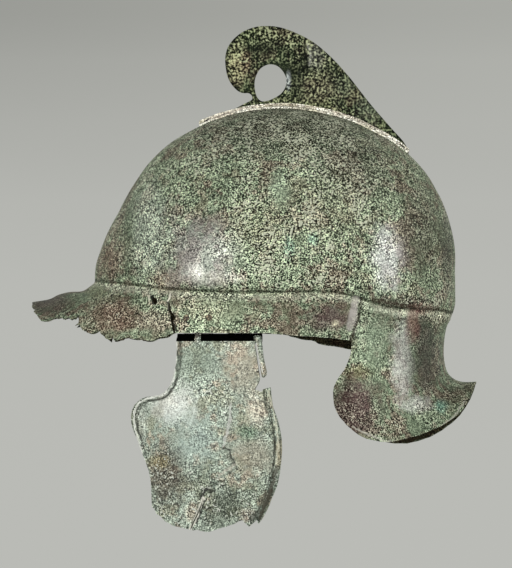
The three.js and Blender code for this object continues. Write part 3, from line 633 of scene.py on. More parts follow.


# %% [markdown]
# A worn sheet has two faces that don't run quite side by side. One grid is thickened with Solidify, and then
# the corners of both faces are moved to where two functions put them, so the edges stay sewn. A mask of
# painted shade for cracks, grooves and edges is stored on the same corners. The cheekpieces are made with this
# helper too.

# %% A sheet with two worn faces
def two_faced(name, low, high, cell, front, back, crease_shade):
    """A closed slab of two grids over a side-view box. Functions of the side-view places give both faces' y,
    and how much painted shade darkens the cracks, grooves and edges there."""
    size = np.array(high, float) - low
    counts = np.maximum(2, np.rint(size / cell)).astype(int)
    slab, across, up = grid(name, *counts)
    side = np.column_stack([across, up]) * size + low
    move_corners(slab, np.column_stack([side[:, 0], back(side), side[:, 1]]) * MM)
    applied(slab, "SOLIDIFY", thickness=MM, offset=1)
    places = corners(slab)
    count = len(side)
    places[:count] = np.column_stack([side[:, 0], back(side), side[:, 1]]) * MM
    places[count:] = np.column_stack([side[:, 0], front(side), side[:, 1]]) * MM
    move_corners(slab, places)
    mask = slab.data.attributes.new("crease_shade", "FLOAT", "POINT")
    mask.data.foreach_set("value", np.tile(crease_shade(side), 2))
    closed_up(slab)
    return slab


def dark_line(line, side, half):
    """1 on a line, fading to 0 at half its width."""
    return np.clip(1 - distance_to(line, side) / half, 0, 1)


# %% [markdown]
# The crest's faces fall away over the last 1.3 mm before the rim and the hole, as corroded edges do. Between
# them there is slight wear, the step where a scale has come off, and two cracks beside it.

# %% The crest's faces
SCALE_LINE = [(20.1, 202), (19.6, 194), (20.3, 186), (21.5, 181), (25, 179.5), (28.5, 179.6)]
CREST_CRACK = [(28.5, 179.6), (22, 177.5), (17, 178.5), (14.6, 176.2)]
RIM_LIFT = 0.7
RIM_FALL, RIM_WIDTH = 0.7, 1.3
WEAR = 0.12
SCALE_STEP = 0.35

lowest_rim = SEAT_GAP + RIM_LIFT
crest_rim = [(x, max(z, crown_height(x) + lowest_rim)) for x, z in rounded(CREST_OUTLINE, closed=False)]
crest_ring = rounded(CREST_HOLE)
closed_ring = crest_ring + crest_ring[:1]


# Painted shade in the cracks, and along the rim and the hole's edge.
def crest_crease_shade(side):
    lines = [dark_line(line, side, 1.1) for line in (SCALE_LINE, CREST_CRACK)]
    lines += [0.9 * dark_line(line, side, 1.3) for line in (crest_rim, closed_ring)]
    return np.max(lines, axis=0)


def crest_face(side):
    """Half the plate's thickness at side-view places: rounded at the rim, and worn in the middle."""
    x, z = side.T
    gap = np.minimum(distance_to(crest_rim, side), distance_to(closed_ring, side))
    rim = RIM_FALL * (1 - np.clip(gap / RIM_WIDTH, 0, 1)) ** 2
    wear = np.array([noise.noise(Vector((a / 6, 3, b / 6))) + noise.noise(Vector((a / 2.2, 8, b / 2.2))) / 2
                     for a, b in side])
    step = SCALE_STEP * smooth_step(x + 0.12 * (z - 190), 19.6, 20.6) * smooth_step(z, 179, 181)
    step *= 1 - smooth_step(x, 30, 36)
    cracks = 0.5 * dark_line(CREST_CRACK, side, 0.9) + 0.3 * dark_line(SCALE_LINE, side, 0.8)
    return CREST_SHEET / 2 - rim + WEAR * wear - step - cracks


# %% Building the crest plate
THROUGH_CREST = (-9, 9)

crest = two_faced("bronze_crest", (-52, 118), (92, 209.5), PLATE_CELL,
                  lambda side: -crest_face(side), crest_face, crest_crease_shade)
foot_line = [(x, crown_height(x) + SEAT_GAP) for x in np.linspace(89.3, -50.3, 70)]
cut(crest, side_prism("crest_outline", crest_rim + foot_line, *THROUGH_CREST), "INTERSECT")
cut(crest, side_prism("crest_hole", crest_ring, *THROUGH_CREST))
smoothed(crest)
print("crest:", triangles(crest), "triangles")

# %% [markdown]
# The crest stands between two feet. Each is a narrow strip of sheet, bent to an angle, that lies on the crown
# and is riveted to it near both ends. A flat grid is dropped onto the bowl with a Shrinkwrap modifier, which
# gives it the crown's curve for nothing, and the upright leg is extruded from its inner row of faces.

# %% The crest's feet
FOOT_STATIONS = [1.45, 2.65, 4.2, 5.9, 7.6, 9.2, 9.65]
FOOT_ENDS = (-50.3, 89.0)
FOOT_SHEET = 1.2
FOOT_COLUMNS = 150
LEG_HEIGHT = 2.0
DROPPED_FROM = 20
FOOT_BEVEL = 0.3


def crest_foot(name, side):
    """One angle strip. The side is -1 for the helmet's left and 1 for its right."""
    foot, across, up = grid(name, FOOT_COLUMNS, len(FOOT_STATIONS) - 1)
    along = FOOT_ENDS[0] + across * (FOOT_ENDS[1] - FOOT_ENDS[0])
    out = np.interp(up * (len(FOOT_STATIONS) - 1), range(len(FOOT_STATIONS)), FOOT_STATIONS)
    waver = np.array([noise.noise(Vector((x / 9, side * 4, 0))) for x in along])
    out = out + 0.5 * waver * smooth_step(out, 5, 9)
    height = crown_height(along) + DROPPED_FROM
    move_corners(foot, np.column_stack([along, side * out, height]) * MM)
    applied(foot, "SHRINKWRAP", target=bowl, wrap_method="PROJECT", use_project_z=True,
            use_positive_direction=False, use_negative_direction=True)
    places = corners(foot)
    places[:, 2] += SEAT_GAP * MM
    move_corners(foot, places)
    closed_up(foot)
    if foot.data.polygons[0].normal.z < 0:
        foot.data.flip_normals()
    applied(foot, "SOLIDIFY", thickness=FOOT_SHEET * MM, offset=1)
    only(foot)
    for face in foot.data.polygons:
        face.select = face.normal.z > 0.3 and abs(face.center.y) < FOOT_STATIONS[1] * MM
    for part in (foot.data.edges, foot.data.vertices):
        part.foreach_set("select", np.zeros(len(part), bool))
    bpy.ops.object.mode_set(mode="EDIT")
    bpy.ops.mesh.select_mode(type="FACE")
    bpy.ops.mesh.extrude_region_move(TRANSFORM_OT_translate={"value": (0, 0, LEG_HEIGHT * MM)})
    bpy.ops.object.mode_set(mode="OBJECT")
    closed_up(foot)
    applied(foot, "BEVEL", width=FOOT_BEVEL * MM, segments=2, limit_method="ANGLE",
            angle_limit=math.radians(50))
    smoothed(foot)
    return foot


feet = {name: crest_foot(f"bronze_foot_{name}", side) for name, side in (("left", -1), ("right", 1))}
print("feet:", [triangles(foot) for foot in feet.values()], "triangles")

# %% [markdown]
# Each cheekpiece hangs from a hinge pin under the rim, so it is made in the hinge's own axes and set in place
# at the end: the first axis runs along the pin, the second points into the helmet, and the third points up.
# The sheet bellies out in the middle and its lower front turns in. A raised bead runs down both edges, and
# the sheet is dented, wrinkled and torn. All of that is relief on a dense grid, because light catches on it.

# %% The outline of a cheekpiece
HINGE = np.array([-51.5, -81.953, 4.4])
HINGE_TURN = math.radians(14)
CHEEK_WIDTH, CHEEK_DROP = 103, 135.5
CHEEK_BULGE, CHEEK_TUCK = 5, 10
CHEEK_OUT = 0.8
CHEEK_CELL = 0.85
CHEEK_FRONT = [
    (-14.9, -8.2), (-14.2, -13.5), (-14.4, -19.5), (-15.1, -26.2), (-16.5, -32.2), (-18.1, -36.8),
    (-20.5, -40.7), (-22.9, -42.8), (-25.3, -44), (-29.6, -44.8), (-34.6, -45.3), (-38.1, -46.5),
    (-41.1, -48.3), (-43.7, -51), (-45.4, -54.1), (-46.2, -58.1), (-45.9, -62.8), (-44.5, -67.4),
    (-42.4, -72.7), (-40.6, -77.4), (-38.5, -82.7), (-36.1, -88.4), (-33.9, -94.7), (-32.8, -100),
    (-32.2, -106),
]
CHEEK_BOTTOM = [
    (-32.2, -106), (-32.4, -111.4), (-32.2, -115.4), (-31.9, -118.4), (-30, -121), (-29.1, -123.2),
    (-25.8, -125.3), (-23, -128.3), (-18.7, -130.4), (-13.8, -132), (-9, -133), (-5.1, -133.7),
    (-3.1, -134.1), (0.1, -133.7), (3.4, -135), (7.5, -135.4), (10.9, -133.9), (14.3, -133.1), (18.2, -131.9),
    (23, -130.1), (27, -128.3), (29.6, -127.5), (30.5, -129), (32.1, -130.1), (34, -131.5), (36.3, -129.6),
    (37.9, -128.2),
]
CHEEK_REAR = [
    (39.2, -126.8), (40, -129.7), (41.3, -128), (43.1, -125.4), (45.1, -121.6), (46.9, -118), (48.4, -114),
    (50.5, -109), (52.5, -104), (54.2, -96.7), (55.4, -88), (56, -80.7), (55.9, -74.1), (55.1, -67.4),
    (53.8, -61.1), (52.2, -56.1), (50.7, -51.5), (49.9, -45.5), (49.4, -39.2),
]
CHEEK_NOTCH = [
    (49.4, -39.2), (46.9, -39.7), (44.6, -40.3), (44, -41.8), (42.3, -42), (40.6, -40.8), (38.8, -40.6),
    (40.3, -37.8), (42.1, -34.5), (42.4, -32.2), (42, -29.9), (41.2, -25.5), (40.6, -20.9), (39.5, -14.2),
    (38.6, -9), (43.6, -8.6), (43.4, -3.3),
]
TONGUE = [(2.05, -3.3), (2.05, 0), (-2.05, 0), (-2.05, -3.3), (-14.4, -3.3)]
BORDER_STRIP = [
    (38.2, -5), (39.6, -9.4), (40.5, -13.6), (41.3, -18.2), (42.2, -23.2), (43, -27.5), (43.6, -30.9),
    (44.4, -32.6), (46.2, -31.7), (46.9, -29.2), (46.4, -26.5), (45.4, -22.2), (44.6, -17.6), (44.1, -12.9),
    (43.6, -8.7), (42.8, -5),
]
CHEEK_CRACK = [
    (-5, -137), (-4.4, -133.3), (-2.6, -129.3), (-0.1, -124.6), (2.3, -119.6), (3.4, -116), (3.9, -113.7),
    (4.1, -112.3), (2.6, -116.7), (1.3, -119.3), (-1.2, -124.4), (-3.8, -129), (-5.4, -133), (-6.2, -137),
]

# %% [markdown]
# The relief is a sum of small terms. A bead is a rounded ridge at a set distance from an edge, with a groove
# beside it. A tear is a thin groove whose one lip stands up. Above the dark line under the rim the sheet is
# set back, all but a narrow tongue that goes up to the hinge's barrel.

# %% The relief of a cheekpiece
CURL_TEAR = [(17.5, -78.6), (20.8, -82), (22.7, -84.8), (23.3, -87.2), (24.9, -89.9), (27.2, -93.7)]
SIDE_TEAR = [(9.5, -90), (13.3, -89.5), (18, -87.6), (22.2, -85.8)]
WRINKLE = [(20.9, -49.8), (21.4, -57.3), (22.8, -64.8), (23.3, -72.2), (21.4, -76.9), (19.1, -79.7)]
LOW_TEAR = [
    (3.8, -114.5), (1.4, -112.6), (3.4, -109.5), (5.9, -106.3), (9.2, -104.9), (13.1, -103), (17.7, -101.6),
]
LOW_WRINKLE = [(0, -109), (5, -112), (8, -110), (13, -107)]
FRONT_GROOVE, REAR_GROOVE = 3.1, 4.3
SET_BACK = 1.3
SET_BACK_DROPS = (7.7, 8.5)


def cheek_sweep(side):
    """How far the sheet lies inwards of the hinge pin's plane, in mm."""
    s = side[:, 0] / CHEEK_WIDTH
    t = -side[:, 1] / CHEEK_DROP
    belly = np.sin(math.pi * np.clip(t, 0, 1)) * (1 - 2.2 * s * s)
    return CHEEK_TUCK * 4 * s * s * t - CHEEK_BULGE * belly


def ridge(gap, middle, half):
    """A rounded ridge, 1 at its middle."""
    return np.clip(1 - ((gap - middle) / half) ** 2, 0, 1)


def dents(side, seed):
    """Hammer marks and corrosion on both faces, in mm."""
    return np.array([0.3 * noise.noise(Vector((x / 15, z / 15, seed)))
                     + 0.13 * noise.noise(Vector((x / 5, z / 5, seed + 7)))
                     + 0.07 * noise.noise(Vector((x / 2, z / 2, seed + 14))) for x, z in side])


def set_back(side):
    """How far the sheet is set back above the dark line, in mm, on both sides of the tongue."""
    drop = -side[:, 1]
    tongue_half = 1.7 + 0.9 * np.clip(drop - 5.5, 0, 3)
    beside_tongue = smooth_step(abs(side[:, 0]), tongue_half, tongue_half + 0.9)
    return SET_BACK * (1 - smooth_step(drop, *SET_BACK_DROPS)) * beside_tongue


# %% Beads, tears and creases
def cheek_relief(side):
    """How far the outer face stands out of the plain sheet, in mm."""
    fade = 1 - smooth_step(-side[:, 1], 66, 84)
    front = distance_to(CHEEK_FRONT, side)
    rear = distance_to(CHEEK_REAR, side)
    beads = fade * (0.95 * ridge(front, 1.3, 1.3) - 0.4 * ridge(front, FRONT_GROOVE, 0.7))
    beads += 1.1 * ridge(rear, 1.9, 1.8) - 0.4 * ridge(rear, REAR_GROOVE, 0.8)
    x, z = side.T
    lip = np.clip(1 - np.hypot((x - 18.8) / 5, (z + 85) / 4.2) ** 2, 0, 1) * (z + x > -65)
    wrinkle = distance_to(WRINKLE, side)
    tears = 0.8 * lip - 0.7 * ridge(distance_to(CURL_TEAR, side), 0, 1)
    tears -= 0.5 * ridge(distance_to(SIDE_TEAR, side), 0, 0.9)
    tears += 0.45 * ridge(wrinkle, 1.2, 1.6) - 0.3 * ridge(wrinkle, 0, 0.7)
    tears -= 0.7 * ridge(distance_to(LOW_TEAR, side), 0, 1)
    tears -= 0.35 * ridge(distance_to(LOW_WRINKLE, side), 0, 1)
    hollow = 0.6 * np.clip(1 - np.hypot((x - 24) / 13, (z + 99) / 9) ** 2, 0, 1)
    return beads + tears - hollow


def cheek_crease_shade(side):
    """Painted shade: dark lines along both beads, in the tears, the crack and the wrinkle, and on the rear
    bead's lower end.
    """
    fade = 1 - smooth_step(-side[:, 1], 70, 88)
    front, rear = distance_to(CHEEK_FRONT, side), distance_to(CHEEK_REAR, side)
    lines = [fade * ridge(front, 0, 0.9), fade * 0.8 * ridge(front, FRONT_GROOVE, 0.8), ridge(rear, 0, 0.9),
             0.8 * ridge(rear, REAR_GROOVE, 0.8),
             0.8 * ridge(rear, 2, 3) * smooth_step(-side[:, 1], 96, 112)]
    lines += [share * dark_line(line, side, 1.1) for line, share in (
        (CURL_TEAR, 0.5), (SIDE_TEAR, 0.2), (LOW_TEAR, 0.6), (CHEEK_CRACK, 1), (WRINKLE, 0.2))]
    return np.max(lines, axis=0)


# %% [markdown]
# The outer face has all of the relief, and the inner one has only the dents, because it is hardly ever seen.
# The torn outline is then cut out, and at the top the knuckle is joined on: a short bar with a hole for the
# hinge's pin.

# %% Building a cheekpiece
SHEET_IN = CHEEK_OUT + SHEET
DENTS_SEED = 3
KNUCKLE_RADIUS, KNUCKLE_LENGTH = 2.2, 4.1
PIN_HOLE_RADIUS, PIN_HOLE_LENGTH = 1.25, 9
THROUGH_CHEEK = (-30, 30)


def cheek_outer(side):
    return cheek_sweep(side) + CHEEK_OUT + set_back(side) - cheek_relief(side) + dents(side, DENTS_SEED)


def cheek_inner(side):
    return cheek_sweep(side) + SHEET_IN + set_back(side) + dents(side, DENTS_SEED)


def barrel(radius, length):
    """A round bar along the hinge pin."""
    bpy.ops.object.select_all(action="DESELECT")
    bpy.ops.mesh.primitive_cylinder_add(vertices=40, radius=radius * MM, depth=length * MM)
    bar = bpy.context.object
    places = corners(bar)
    move_corners(bar, places[:, [2, 1, 0]])
    closed_up(bar)
    return bar


cheek = two_faced("bronze_cheek_left", (-48, -137.5), (58, 1), CHEEK_CELL, cheek_outer, cheek_inner,
                  cheek_crease_shade)
cheek_edge = (ragged(CHEEK_FRONT[:-1], 4, 0.15, 3) + ragged(CHEEK_BOTTOM, 1.6, 0.5, 4)
              + ragged(CHEEK_REAR[:-1], 4, 0.12, 5) + ragged(CHEEK_NOTCH, 1.5, 0.25, 6) + TONGUE)
cut(cheek, side_prism("cheek_outline", cheek_edge, *THROUGH_CHEEK), "INTERSECT")
cut(cheek, barrel(KNUCKLE_RADIUS, KNUCKLE_LENGTH), "UNION")
cut(cheek, barrel(PIN_HOLE_RADIUS, PIN_HOLE_LENGTH))
print("cheekpiece:", triangles(cheek), "triangles")

# %% [markdown]
# The right cheekpiece is a mirrored copy, taken before the left one's crack is cut. A mirrored mesh is inside
# out, so its faces are turned again.

# %% Setting a piece in place
def set_at_hinge(piece, side):
    """Moves a piece from the hinge's axes to the helmet's left (-1) or right (1)."""
    along, inward, up = corners(piece).T / MM
    x = HINGE[0] + along * math.cos(HINGE_TURN) + inward * math.sin(HINGE_TURN)
    y = HINGE[1] - along * math.sin(HINGE_TURN) + inward * math.cos(HINGE_TURN)
    move_corners(piece, np.column_stack([x, -side * y, HINGE[2] + up]) * MM)
    closed_up(piece)
    smoothed(piece)


def copied(piece, name):
    twin = piece.copy()
    twin.data = piece.data.copy()
    twin.name = name
    bpy.context.scene.collection.objects.link(twin)
    return twin


cheek_right = copied(cheek, "bronze_cheek_right")
cut(cheek, side_prism("cheek_crack", CHEEK_CRACK, *THROUGH_CHEEK))
print("right cheekpiece:", triangles(cheek_right), "triangles")

# %% [markdown]
# A narrow strip of the bead at the left cheekpiece's rear edge has torn loose near the top. It is a sheet of
# its own, with a low ridge inside its outline, and it lies at the same distance from the hinge's plane.

# %% The torn strip
STRIP_CELL = 0.5
strip_edge = BORDER_STRIP + BORDER_STRIP[:1]


def strip_outer(side):
    return cheek_sweep(side) + CHEEK_OUT - 0.75 * ridge(distance_to(strip_edge, side), 1.1, 0.9)


# The third function gives painted shade along the strip's edges.
strip = two_faced("bronze_border_strip", (37, -34), (48, -4), STRIP_CELL, strip_outer,
                  lambda side: cheek_sweep(side) + SHEET_IN - 0.1,
                  lambda side: ridge(distance_to(strip_edge, side), 0, 0.6))
cut(strip, side_prism("strip_outline", rounded(BORDER_STRIP), *THROUGH_CHEEK), "INTERSECT")
for piece, side in ((cheek, -1), (cheek_right, 1), (strip, -1)):
    set_at_hinge(piece, side)
print("cheekpieces:", [triangles(piece) for piece in (cheek, cheek_right, strip)], "triangles")

# %% [markdown]
# The finish is the helmet's history. Bronze turns green and brown underground, then pits eat into it, and
# pale salts grow on it in grains of about a millimetre. Every piece shows the same few effects, so each of
# these is a node group with named sockets, built once and used by all finishes. They work in the object's own
# coordinates, in metres, so noise at a scale of 500 gives marks of about 2 mm.

# %% Helpers for node groups
def effect(name, inputs, outputs):
    """An empty node group with named sockets. Gives back the group, its inputs and its output node."""
    tree = bpy.data.node_groups.new(name, "ShaderNodeTree")
    for kind, sockets in (("INPUT", inputs), ("OUTPUT", outputs)):
        for label, form in sockets.items():
            tree.interface.new_socket(name=label, in_out=kind, socket_type=f"NodeSocket{form}")
    return tree, add(tree, "NodeGroupInput").outputs, add(tree, "NodeGroupOutput")


def vector(tree, operation, *values):
    """A sum on vectors. Gives back all that the node puts out."""
    return add(tree, "ShaderNodeVectorMath", enumerate(values), operation=operation).outputs


def clouds(tree, place, scale, detail=4.0, roughness=0.6, shift=0.0):
    """Noise from 0 to 1 at the object's own places. The shift keeps two patterns apart."""
    moved = vector(tree, "ADD", place, (shift, shift * 0.7, shift * 1.3))[0]
    return add(tree, "ShaderNodeTexNoise", {"Vector": moved, "Scale": scale, "Detail": detail,
                                            "Roughness": roughness}).outputs[0]


def centred(tree, *settings):
    """The same noise from -0.5 to 0.5."""
    return maths(tree, "SUBTRACT", clouds(tree, *settings), 0.5)


# %% [markdown]
# The first group is the ground: two greens that change softly into each other, with brown blotches over a
# given share of them. A blotch needs a clear edge, so wide and narrow noise are added, then cut at a level.

# %% The blotched ground
blotches, given, result = effect(
    "blotched_ground",
    {"Place": "Vector", "Green": "Color", "Brown": "Color", "Olive": "Color", "Brown Share": "Float"},
    {"Color": "Color"})
wide = clouds(blotches, given["Place"], 42, 6, 0.66)
narrow = clouds(blotches, given["Place"], 150, 4, 0.65, 3.1)
both = maths(blotches, "ADD", times(blotches, wide, 0.6), times(blotches, narrow, 0.4))
level = times(blotches, given["Brown Share"], -0.3, plus=0.65)
browned = rising(blotches, maths(blotches, "SUBTRACT", both, level), -0.04, 0.04)
olives = rising(blotches, clouds(blotches, given["Place"], 70, 5, 0.6, 7.7), 0.5, 0.6)
greens = mixed(blotches, olives, given["Green"], given["Olive"])
blotches.links.new(mixed(blotches, browned, greens, given["Brown"]), result.inputs["Color"])
print("blotched ground:", len(blotches.nodes), "nodes")

# %% [markdown]
# The second group corrodes any ground. Its grain is counted in stops, as light is in photography: one stop up
# doubles the ground's colour and one down halves it, so dark and pale grounds get equally strong grain.
# Specks of 1 mm, grain of 2 mm and a mottle of 6 mm are added up. Their strength changes from place to place
# with a slow noise, the swarm, and falls where the surface is smooth.

# %% The grain of the corroded surface
corroded, given, result = effect(
    "corroded_surface",
    {"Place": "Vector", "Ground": "Color", "Dark": "Color", "Pale": "Color", "Pits": "Float",
     "Points": "Float", "Contrast": "Float", "Smooth": "Float"},
    {"Color": "Color", "Roughness": "Float", "Height": "Float"})
place = given["Place"]
specks = centred(corroded, place, 1150, 0, 0.5)
grain = centred(corroded, place, 430, 3, 0.8, 2.9)
mottle = centred(corroded, place, 160, 4, 0.7, 1.3)
swarm = clouds(corroded, place, 50, 5, 0.7, 5.9)
uneven = rising(corroded, swarm, 0.35, 0.65, 0.6, 1.4)
calmed = maths(corroded, "MAXIMUM", times(corroded, given["Smooth"], -0.8, plus=uneven), 0.25)
strong = times(corroded, given["Contrast"], calmed)
coarse = times(corroded, grain, 11.0, plus=times(corroded, mottle, 3.0))
light_stops = times(corroded, times(corroded, specks, 13.0, plus=coarse), strong)
upward = maths(corroded, "MAXIMUM", light_stops, 0.0)
tone = maths(corroded, "POWER", 2.0, times(corroded, upward, -0.5, plus=light_stops))
shades = add(corroded, "ShaderNodeCombineColor", {0: tone, 1: tone, 2: tone}).outputs[0]
grained = mixed(corroded, 1.0, given["Ground"], shades, "MULTIPLY")
salted = maths(corroded, "MINIMUM", times(corroded, upward, 0.13), 0.9)
grained = mixed(corroded, salted, grained, given["Pale"])
print("grain:", len(corroded.nodes), "nodes")

# %% [markdown]
# On the grain lie the crust and the pits. The crust is pale points of salts, closer together where the swarm
# is strong. The same pattern moved by 0.7 mm gives each point a small dark shadow, which makes it stand out
# as a grain would, without any geometry. Points, pits and grain also drive the roughness and the bump.

# %% The crust and the pits
SHADOW_SHIFT = (-0.7 * MM, 0, 0.7 * MM)


def crust(tree, place, level):
    """Irregular grains of pale salts, from 0 to 1."""
    field = maths(tree, "ADD", clouds(tree, place, 560, 1, 0.6, 12.7), times(tree, swarm, 0.9))
    return rising(tree, maths(tree, "SUBTRACT", field, level), 0.0, 0.05)


thinned = times(corroded, maths(corroded, "MAXIMUM", given["Smooth"], -0.3), 0.2)
point_level = times(corroded, given["Points"], -0.25, plus=maths(corroded, "ADD", thinned, 1.22))
points = crust(corroded, place, point_level)
shadows = crust(corroded, vector(corroded, "ADD", place, SHADOW_SHIFT)[0], point_level)
pit_clouds = clouds(corroded, place, 620, 3, 0.6, 9.1)
pit_field = maths(corroded, "SUBTRACT", pit_clouds, times(corroded, swarm, 0.2))
pit_level = times(corroded, given["Pits"], -0.25, plus=0.66)
pits = rising(corroded, maths(corroded, "SUBTRACT", pit_field, pit_level), 0.0, 0.05)
# The painted shadows beside the points join the pits here.
pits_and_shadows = times(corroded, maths(corroded, "MAXIMUM", pits, times(corroded, shadows, 0.8)), 0.85)
pitted_and_shadowed = mixed(corroded, pits_and_shadows, grained, given["Dark"])
coloured = mixed(corroded, times(corroded, points, 0.75), pitted_and_shadowed, given["Pale"])
rough = times(corroded, mottle, 0.3, plus=times(corroded, pits_and_shadows, 0.2, plus=0.62))
rough = maths(corroded, "MAXIMUM", times(corroded, given["Smooth"], -0.27, plus=rough), 0.2)
bumps = times(corroded, times(corroded, grain, 0.3, plus=times(corroded, mottle, 0.6)), strong)
bumps = times(corroded, pits_and_shadows, -0.3, plus=times(corroded, points, 0.25, plus=bumps))
for label, value in (("Color", coloured), ("Roughness", rough), ("Height", bumps)):
    corroded.links.new(value, result.inputs[label])
print("corroded surface:", len(corroded.nodes), "nodes")

# %% [markdown]
# Two more groups are masks, for what lies at one place of the helmet. A patch is soft round a middle, and
# noise frays its edge; it lays stains, and also painted highlights and painted shade. A streak is a thin
# straight line between two places, as seen from the side, and noise moves the places that it is measured from,
# so it wavers as a real scratch does; most streaks are painted highlights and painted shade along edges,
# cracks and beads.

# %% The patch's mask
patch, given, result = effect(
    "patch_mask", {"Place": "Vector", "Centre": "Vector", "Size": "Vector"}, {"Mask": "Float"})
away = vector(patch, "SUBTRACT", given["Place"], given["Centre"])[0]
reach = vector(patch, "LENGTH", vector(patch, "DIVIDE", away, given["Size"])[0])["Value"]
fraying = clouds(patch, given["Place"], 130, 5, 0.65, 4.4)
frayed = times(patch, fraying, 1.6, plus=maths(patch, "ADD", reach, -0.8))
patch.links.new(rising(patch, frayed, 0.3, 1.3, 1.0, 0.0), result.inputs["Mask"])
print("stain:", len(patch.nodes), "nodes")

# %% The streak's mask
WAVER = 3 * MM

streak, given, result = effect(
    "streak_mask", {"Place": "Vector", "Start": "Vector", "Along": "Vector", "Width": "Float"},
    {"Mask": "Float"})
shaking = add(streak, "ShaderNodeTexNoise", {"Vector": given["Place"], "Scale": 300.0}).outputs[1]
shaking = vector(streak, "SUBTRACT", shaking, (0.5, 0.5, 0.5))[0]
shaken = vector(streak, "MULTIPLY_ADD", shaking, (WAVER, WAVER, WAVER), given["Place"])[0]
flat = vector(streak, "MULTIPLY", shaken, (1, 0, 1))[0]
reach = vector(streak, "SUBTRACT", flat, given["Start"])[0]
dot = vector(streak, "DOT_PRODUCT", reach, given["Along"])["Value"]
square = vector(streak, "DOT_PRODUCT", given["Along"], given["Along"])["Value"]
share = maths(streak, "MINIMUM", maths(streak, "MAXIMUM", maths(streak, "DIVIDE", dot, square), 0.0), 1.0)
nearest = add(streak, "ShaderNodeVectorMath", {0: given["Along"], 3: share}, operation="SCALE").outputs[0]
gap = vector(streak, "DISTANCE", reach, nearest)["Value"]
line = rising(streak, maths(streak, "DIVIDE", gap, given["Width"]), 0.5, 1.2, 1.0, 0.0)
streak.links.new(line, result.inputs["Mask"])
print("streak:", len(streak.nodes), "nodes")

# %% [markdown]
# Larger stains and the plainest lines lie where they do on the real helmet, and some of them are painted
# light: a few stains are painted highlights and painted shade, and most lines are painted highlights and
# painted shade along edges, cracks and beads. A stain's row gives its middle as seen from the left, in mm, its
# half width and half height, its colour, how strongly it tints the ground, and how smooth it leaves the
# surface, where less than 0 makes the crust stronger. A streak's row gives its points and its half width in
# mm, its colour and its strength. The photograph doesn't show the right side, so there the stains are laid at
# 0.6 of their strength, for a finish of the same kind, and the streaks are left out.

# %% The stains, painted light and streaks of the bowl
BOWL_STAINS_AND_PAINTED_LIGHT = [
    (-151, 22, 19, 9, (70, 56, 48), 0.85, 0.4),
    (-119, 29, 9, 6, (120, 128, 98), 0.7, 0),
    (-107, 12, 23, 13, (118, 94, 80), 0.85, 0),
    (-80, 9, 15, 9, (122, 110, 96), 0.7, 0),
    (-111, 50, 7, 12, (122, 98, 84), 0.6, 0),
    (-75, 38, 9, 9, (152, 134, 114), 0.5, 0),
    # Painted light: a broad painted highlight at the left, a paler painted highlight on the band above the
    # groove, and a painted glint inside the first.
    (-48, 56, 28, 25, (148, 147, 146), 0.55, 0.9),
    (-47, 37, 27, 6, (178, 174, 166), 0.4, 0.5),
    (-56, 44, 8, 5, (195, 195, 186), 0.5, 0.8),
    (3, 96, 9, 16, (152, 170, 144), 0.75, 0.6),
    (9, 59, 4, 9, (140, 180, 158), 0.7, 0),
    (25, 64, 4, 5, (140, 176, 156), 0.6, 0),
    # Painted light: a painted highlight at the right, and painted shade just beyond it, where the bowl faces
    # away from the lamps.
    (75, 51, 13, 25, (166, 165, 166), 0.65, 0.9),
    (97, 71, 15, 34, (74, 68, 56), 0.7, 0.3),
    (36, 11, 20, 9, (98, 80, 78), 0.85, 0.7),
    (40, 8, 3, 3, (194, 188, 162), 0.7, 0),
    (-40, 17, 30, 9, (122, 126, 102), 0.6, 0.2),
    (68, 1, 16, 23, (118, 132, 110), 0.75, 0.3),
    (55, -25, 11, 6, (104, 104, 64), 0.7, 0.1),
    (50, -48, 23, 25, (72, 52, 50), 0.95, 0.3),
    # Painted light: a painted highlight on the neck guard with painted shade beside it, a painted shadow under
    # the rib at the back, painted shade along the bowl's right edge, and a painted glint low on the guard.
    (85, -17, 8, 31, (200, 200, 194), 0.65, 0.8),
    (100, -11, 10, 34, (70, 68, 60), 0.85, 0.3),
    (89, 22, 23, 5, (48, 40, 32), 0.8, 0),
    (115, 61, 5, 34, (50, 50, 40), 0.7, 0.3),
    (94, -46, 12, 6, (214, 214, 208), 0.5, 0.3),
    (111, -47, 5, 5, (118, 168, 150), 0.6, 0),
    (92, 8, 5, 16, (138, 86, 82), 0.5, 0.3),
    (100, 18, 6, 4, (146, 92, 86), 0.5, 0),
    (108, 13, 9, 7, (80, 74, 60), 0.5, -1.4),
    (121, -40, 13, 9, (66, 60, 44), 0.75, 0.3),
    # Dark green at the crown, made darker still as painted shade on the top that the lamps hardly reach.
    (10, 141, 75, 24, (42, 46, 31), 0.8, -0.5),
    (-84, 71, 17, 34, (162, 174, 158), 0.7, 0.1),
    (-98, 64, 5, 34, (90, 104, 80), 0.6, 0.4),
    (54, 111, 29, 23, (56, 54, 42), 0.65, -0.2),
    (-7, 74, 27, 23, (118, 124, 98), 0.5, -0.3),
    (37, 84, 24, 24, (112, 112, 90), 0.4, -0.3),
    # Painted highlight on the band's rear end, where it turns out to the neck guard.
    (53, 14, 2, 12, (190, 186, 174), 0.6, 0),
]
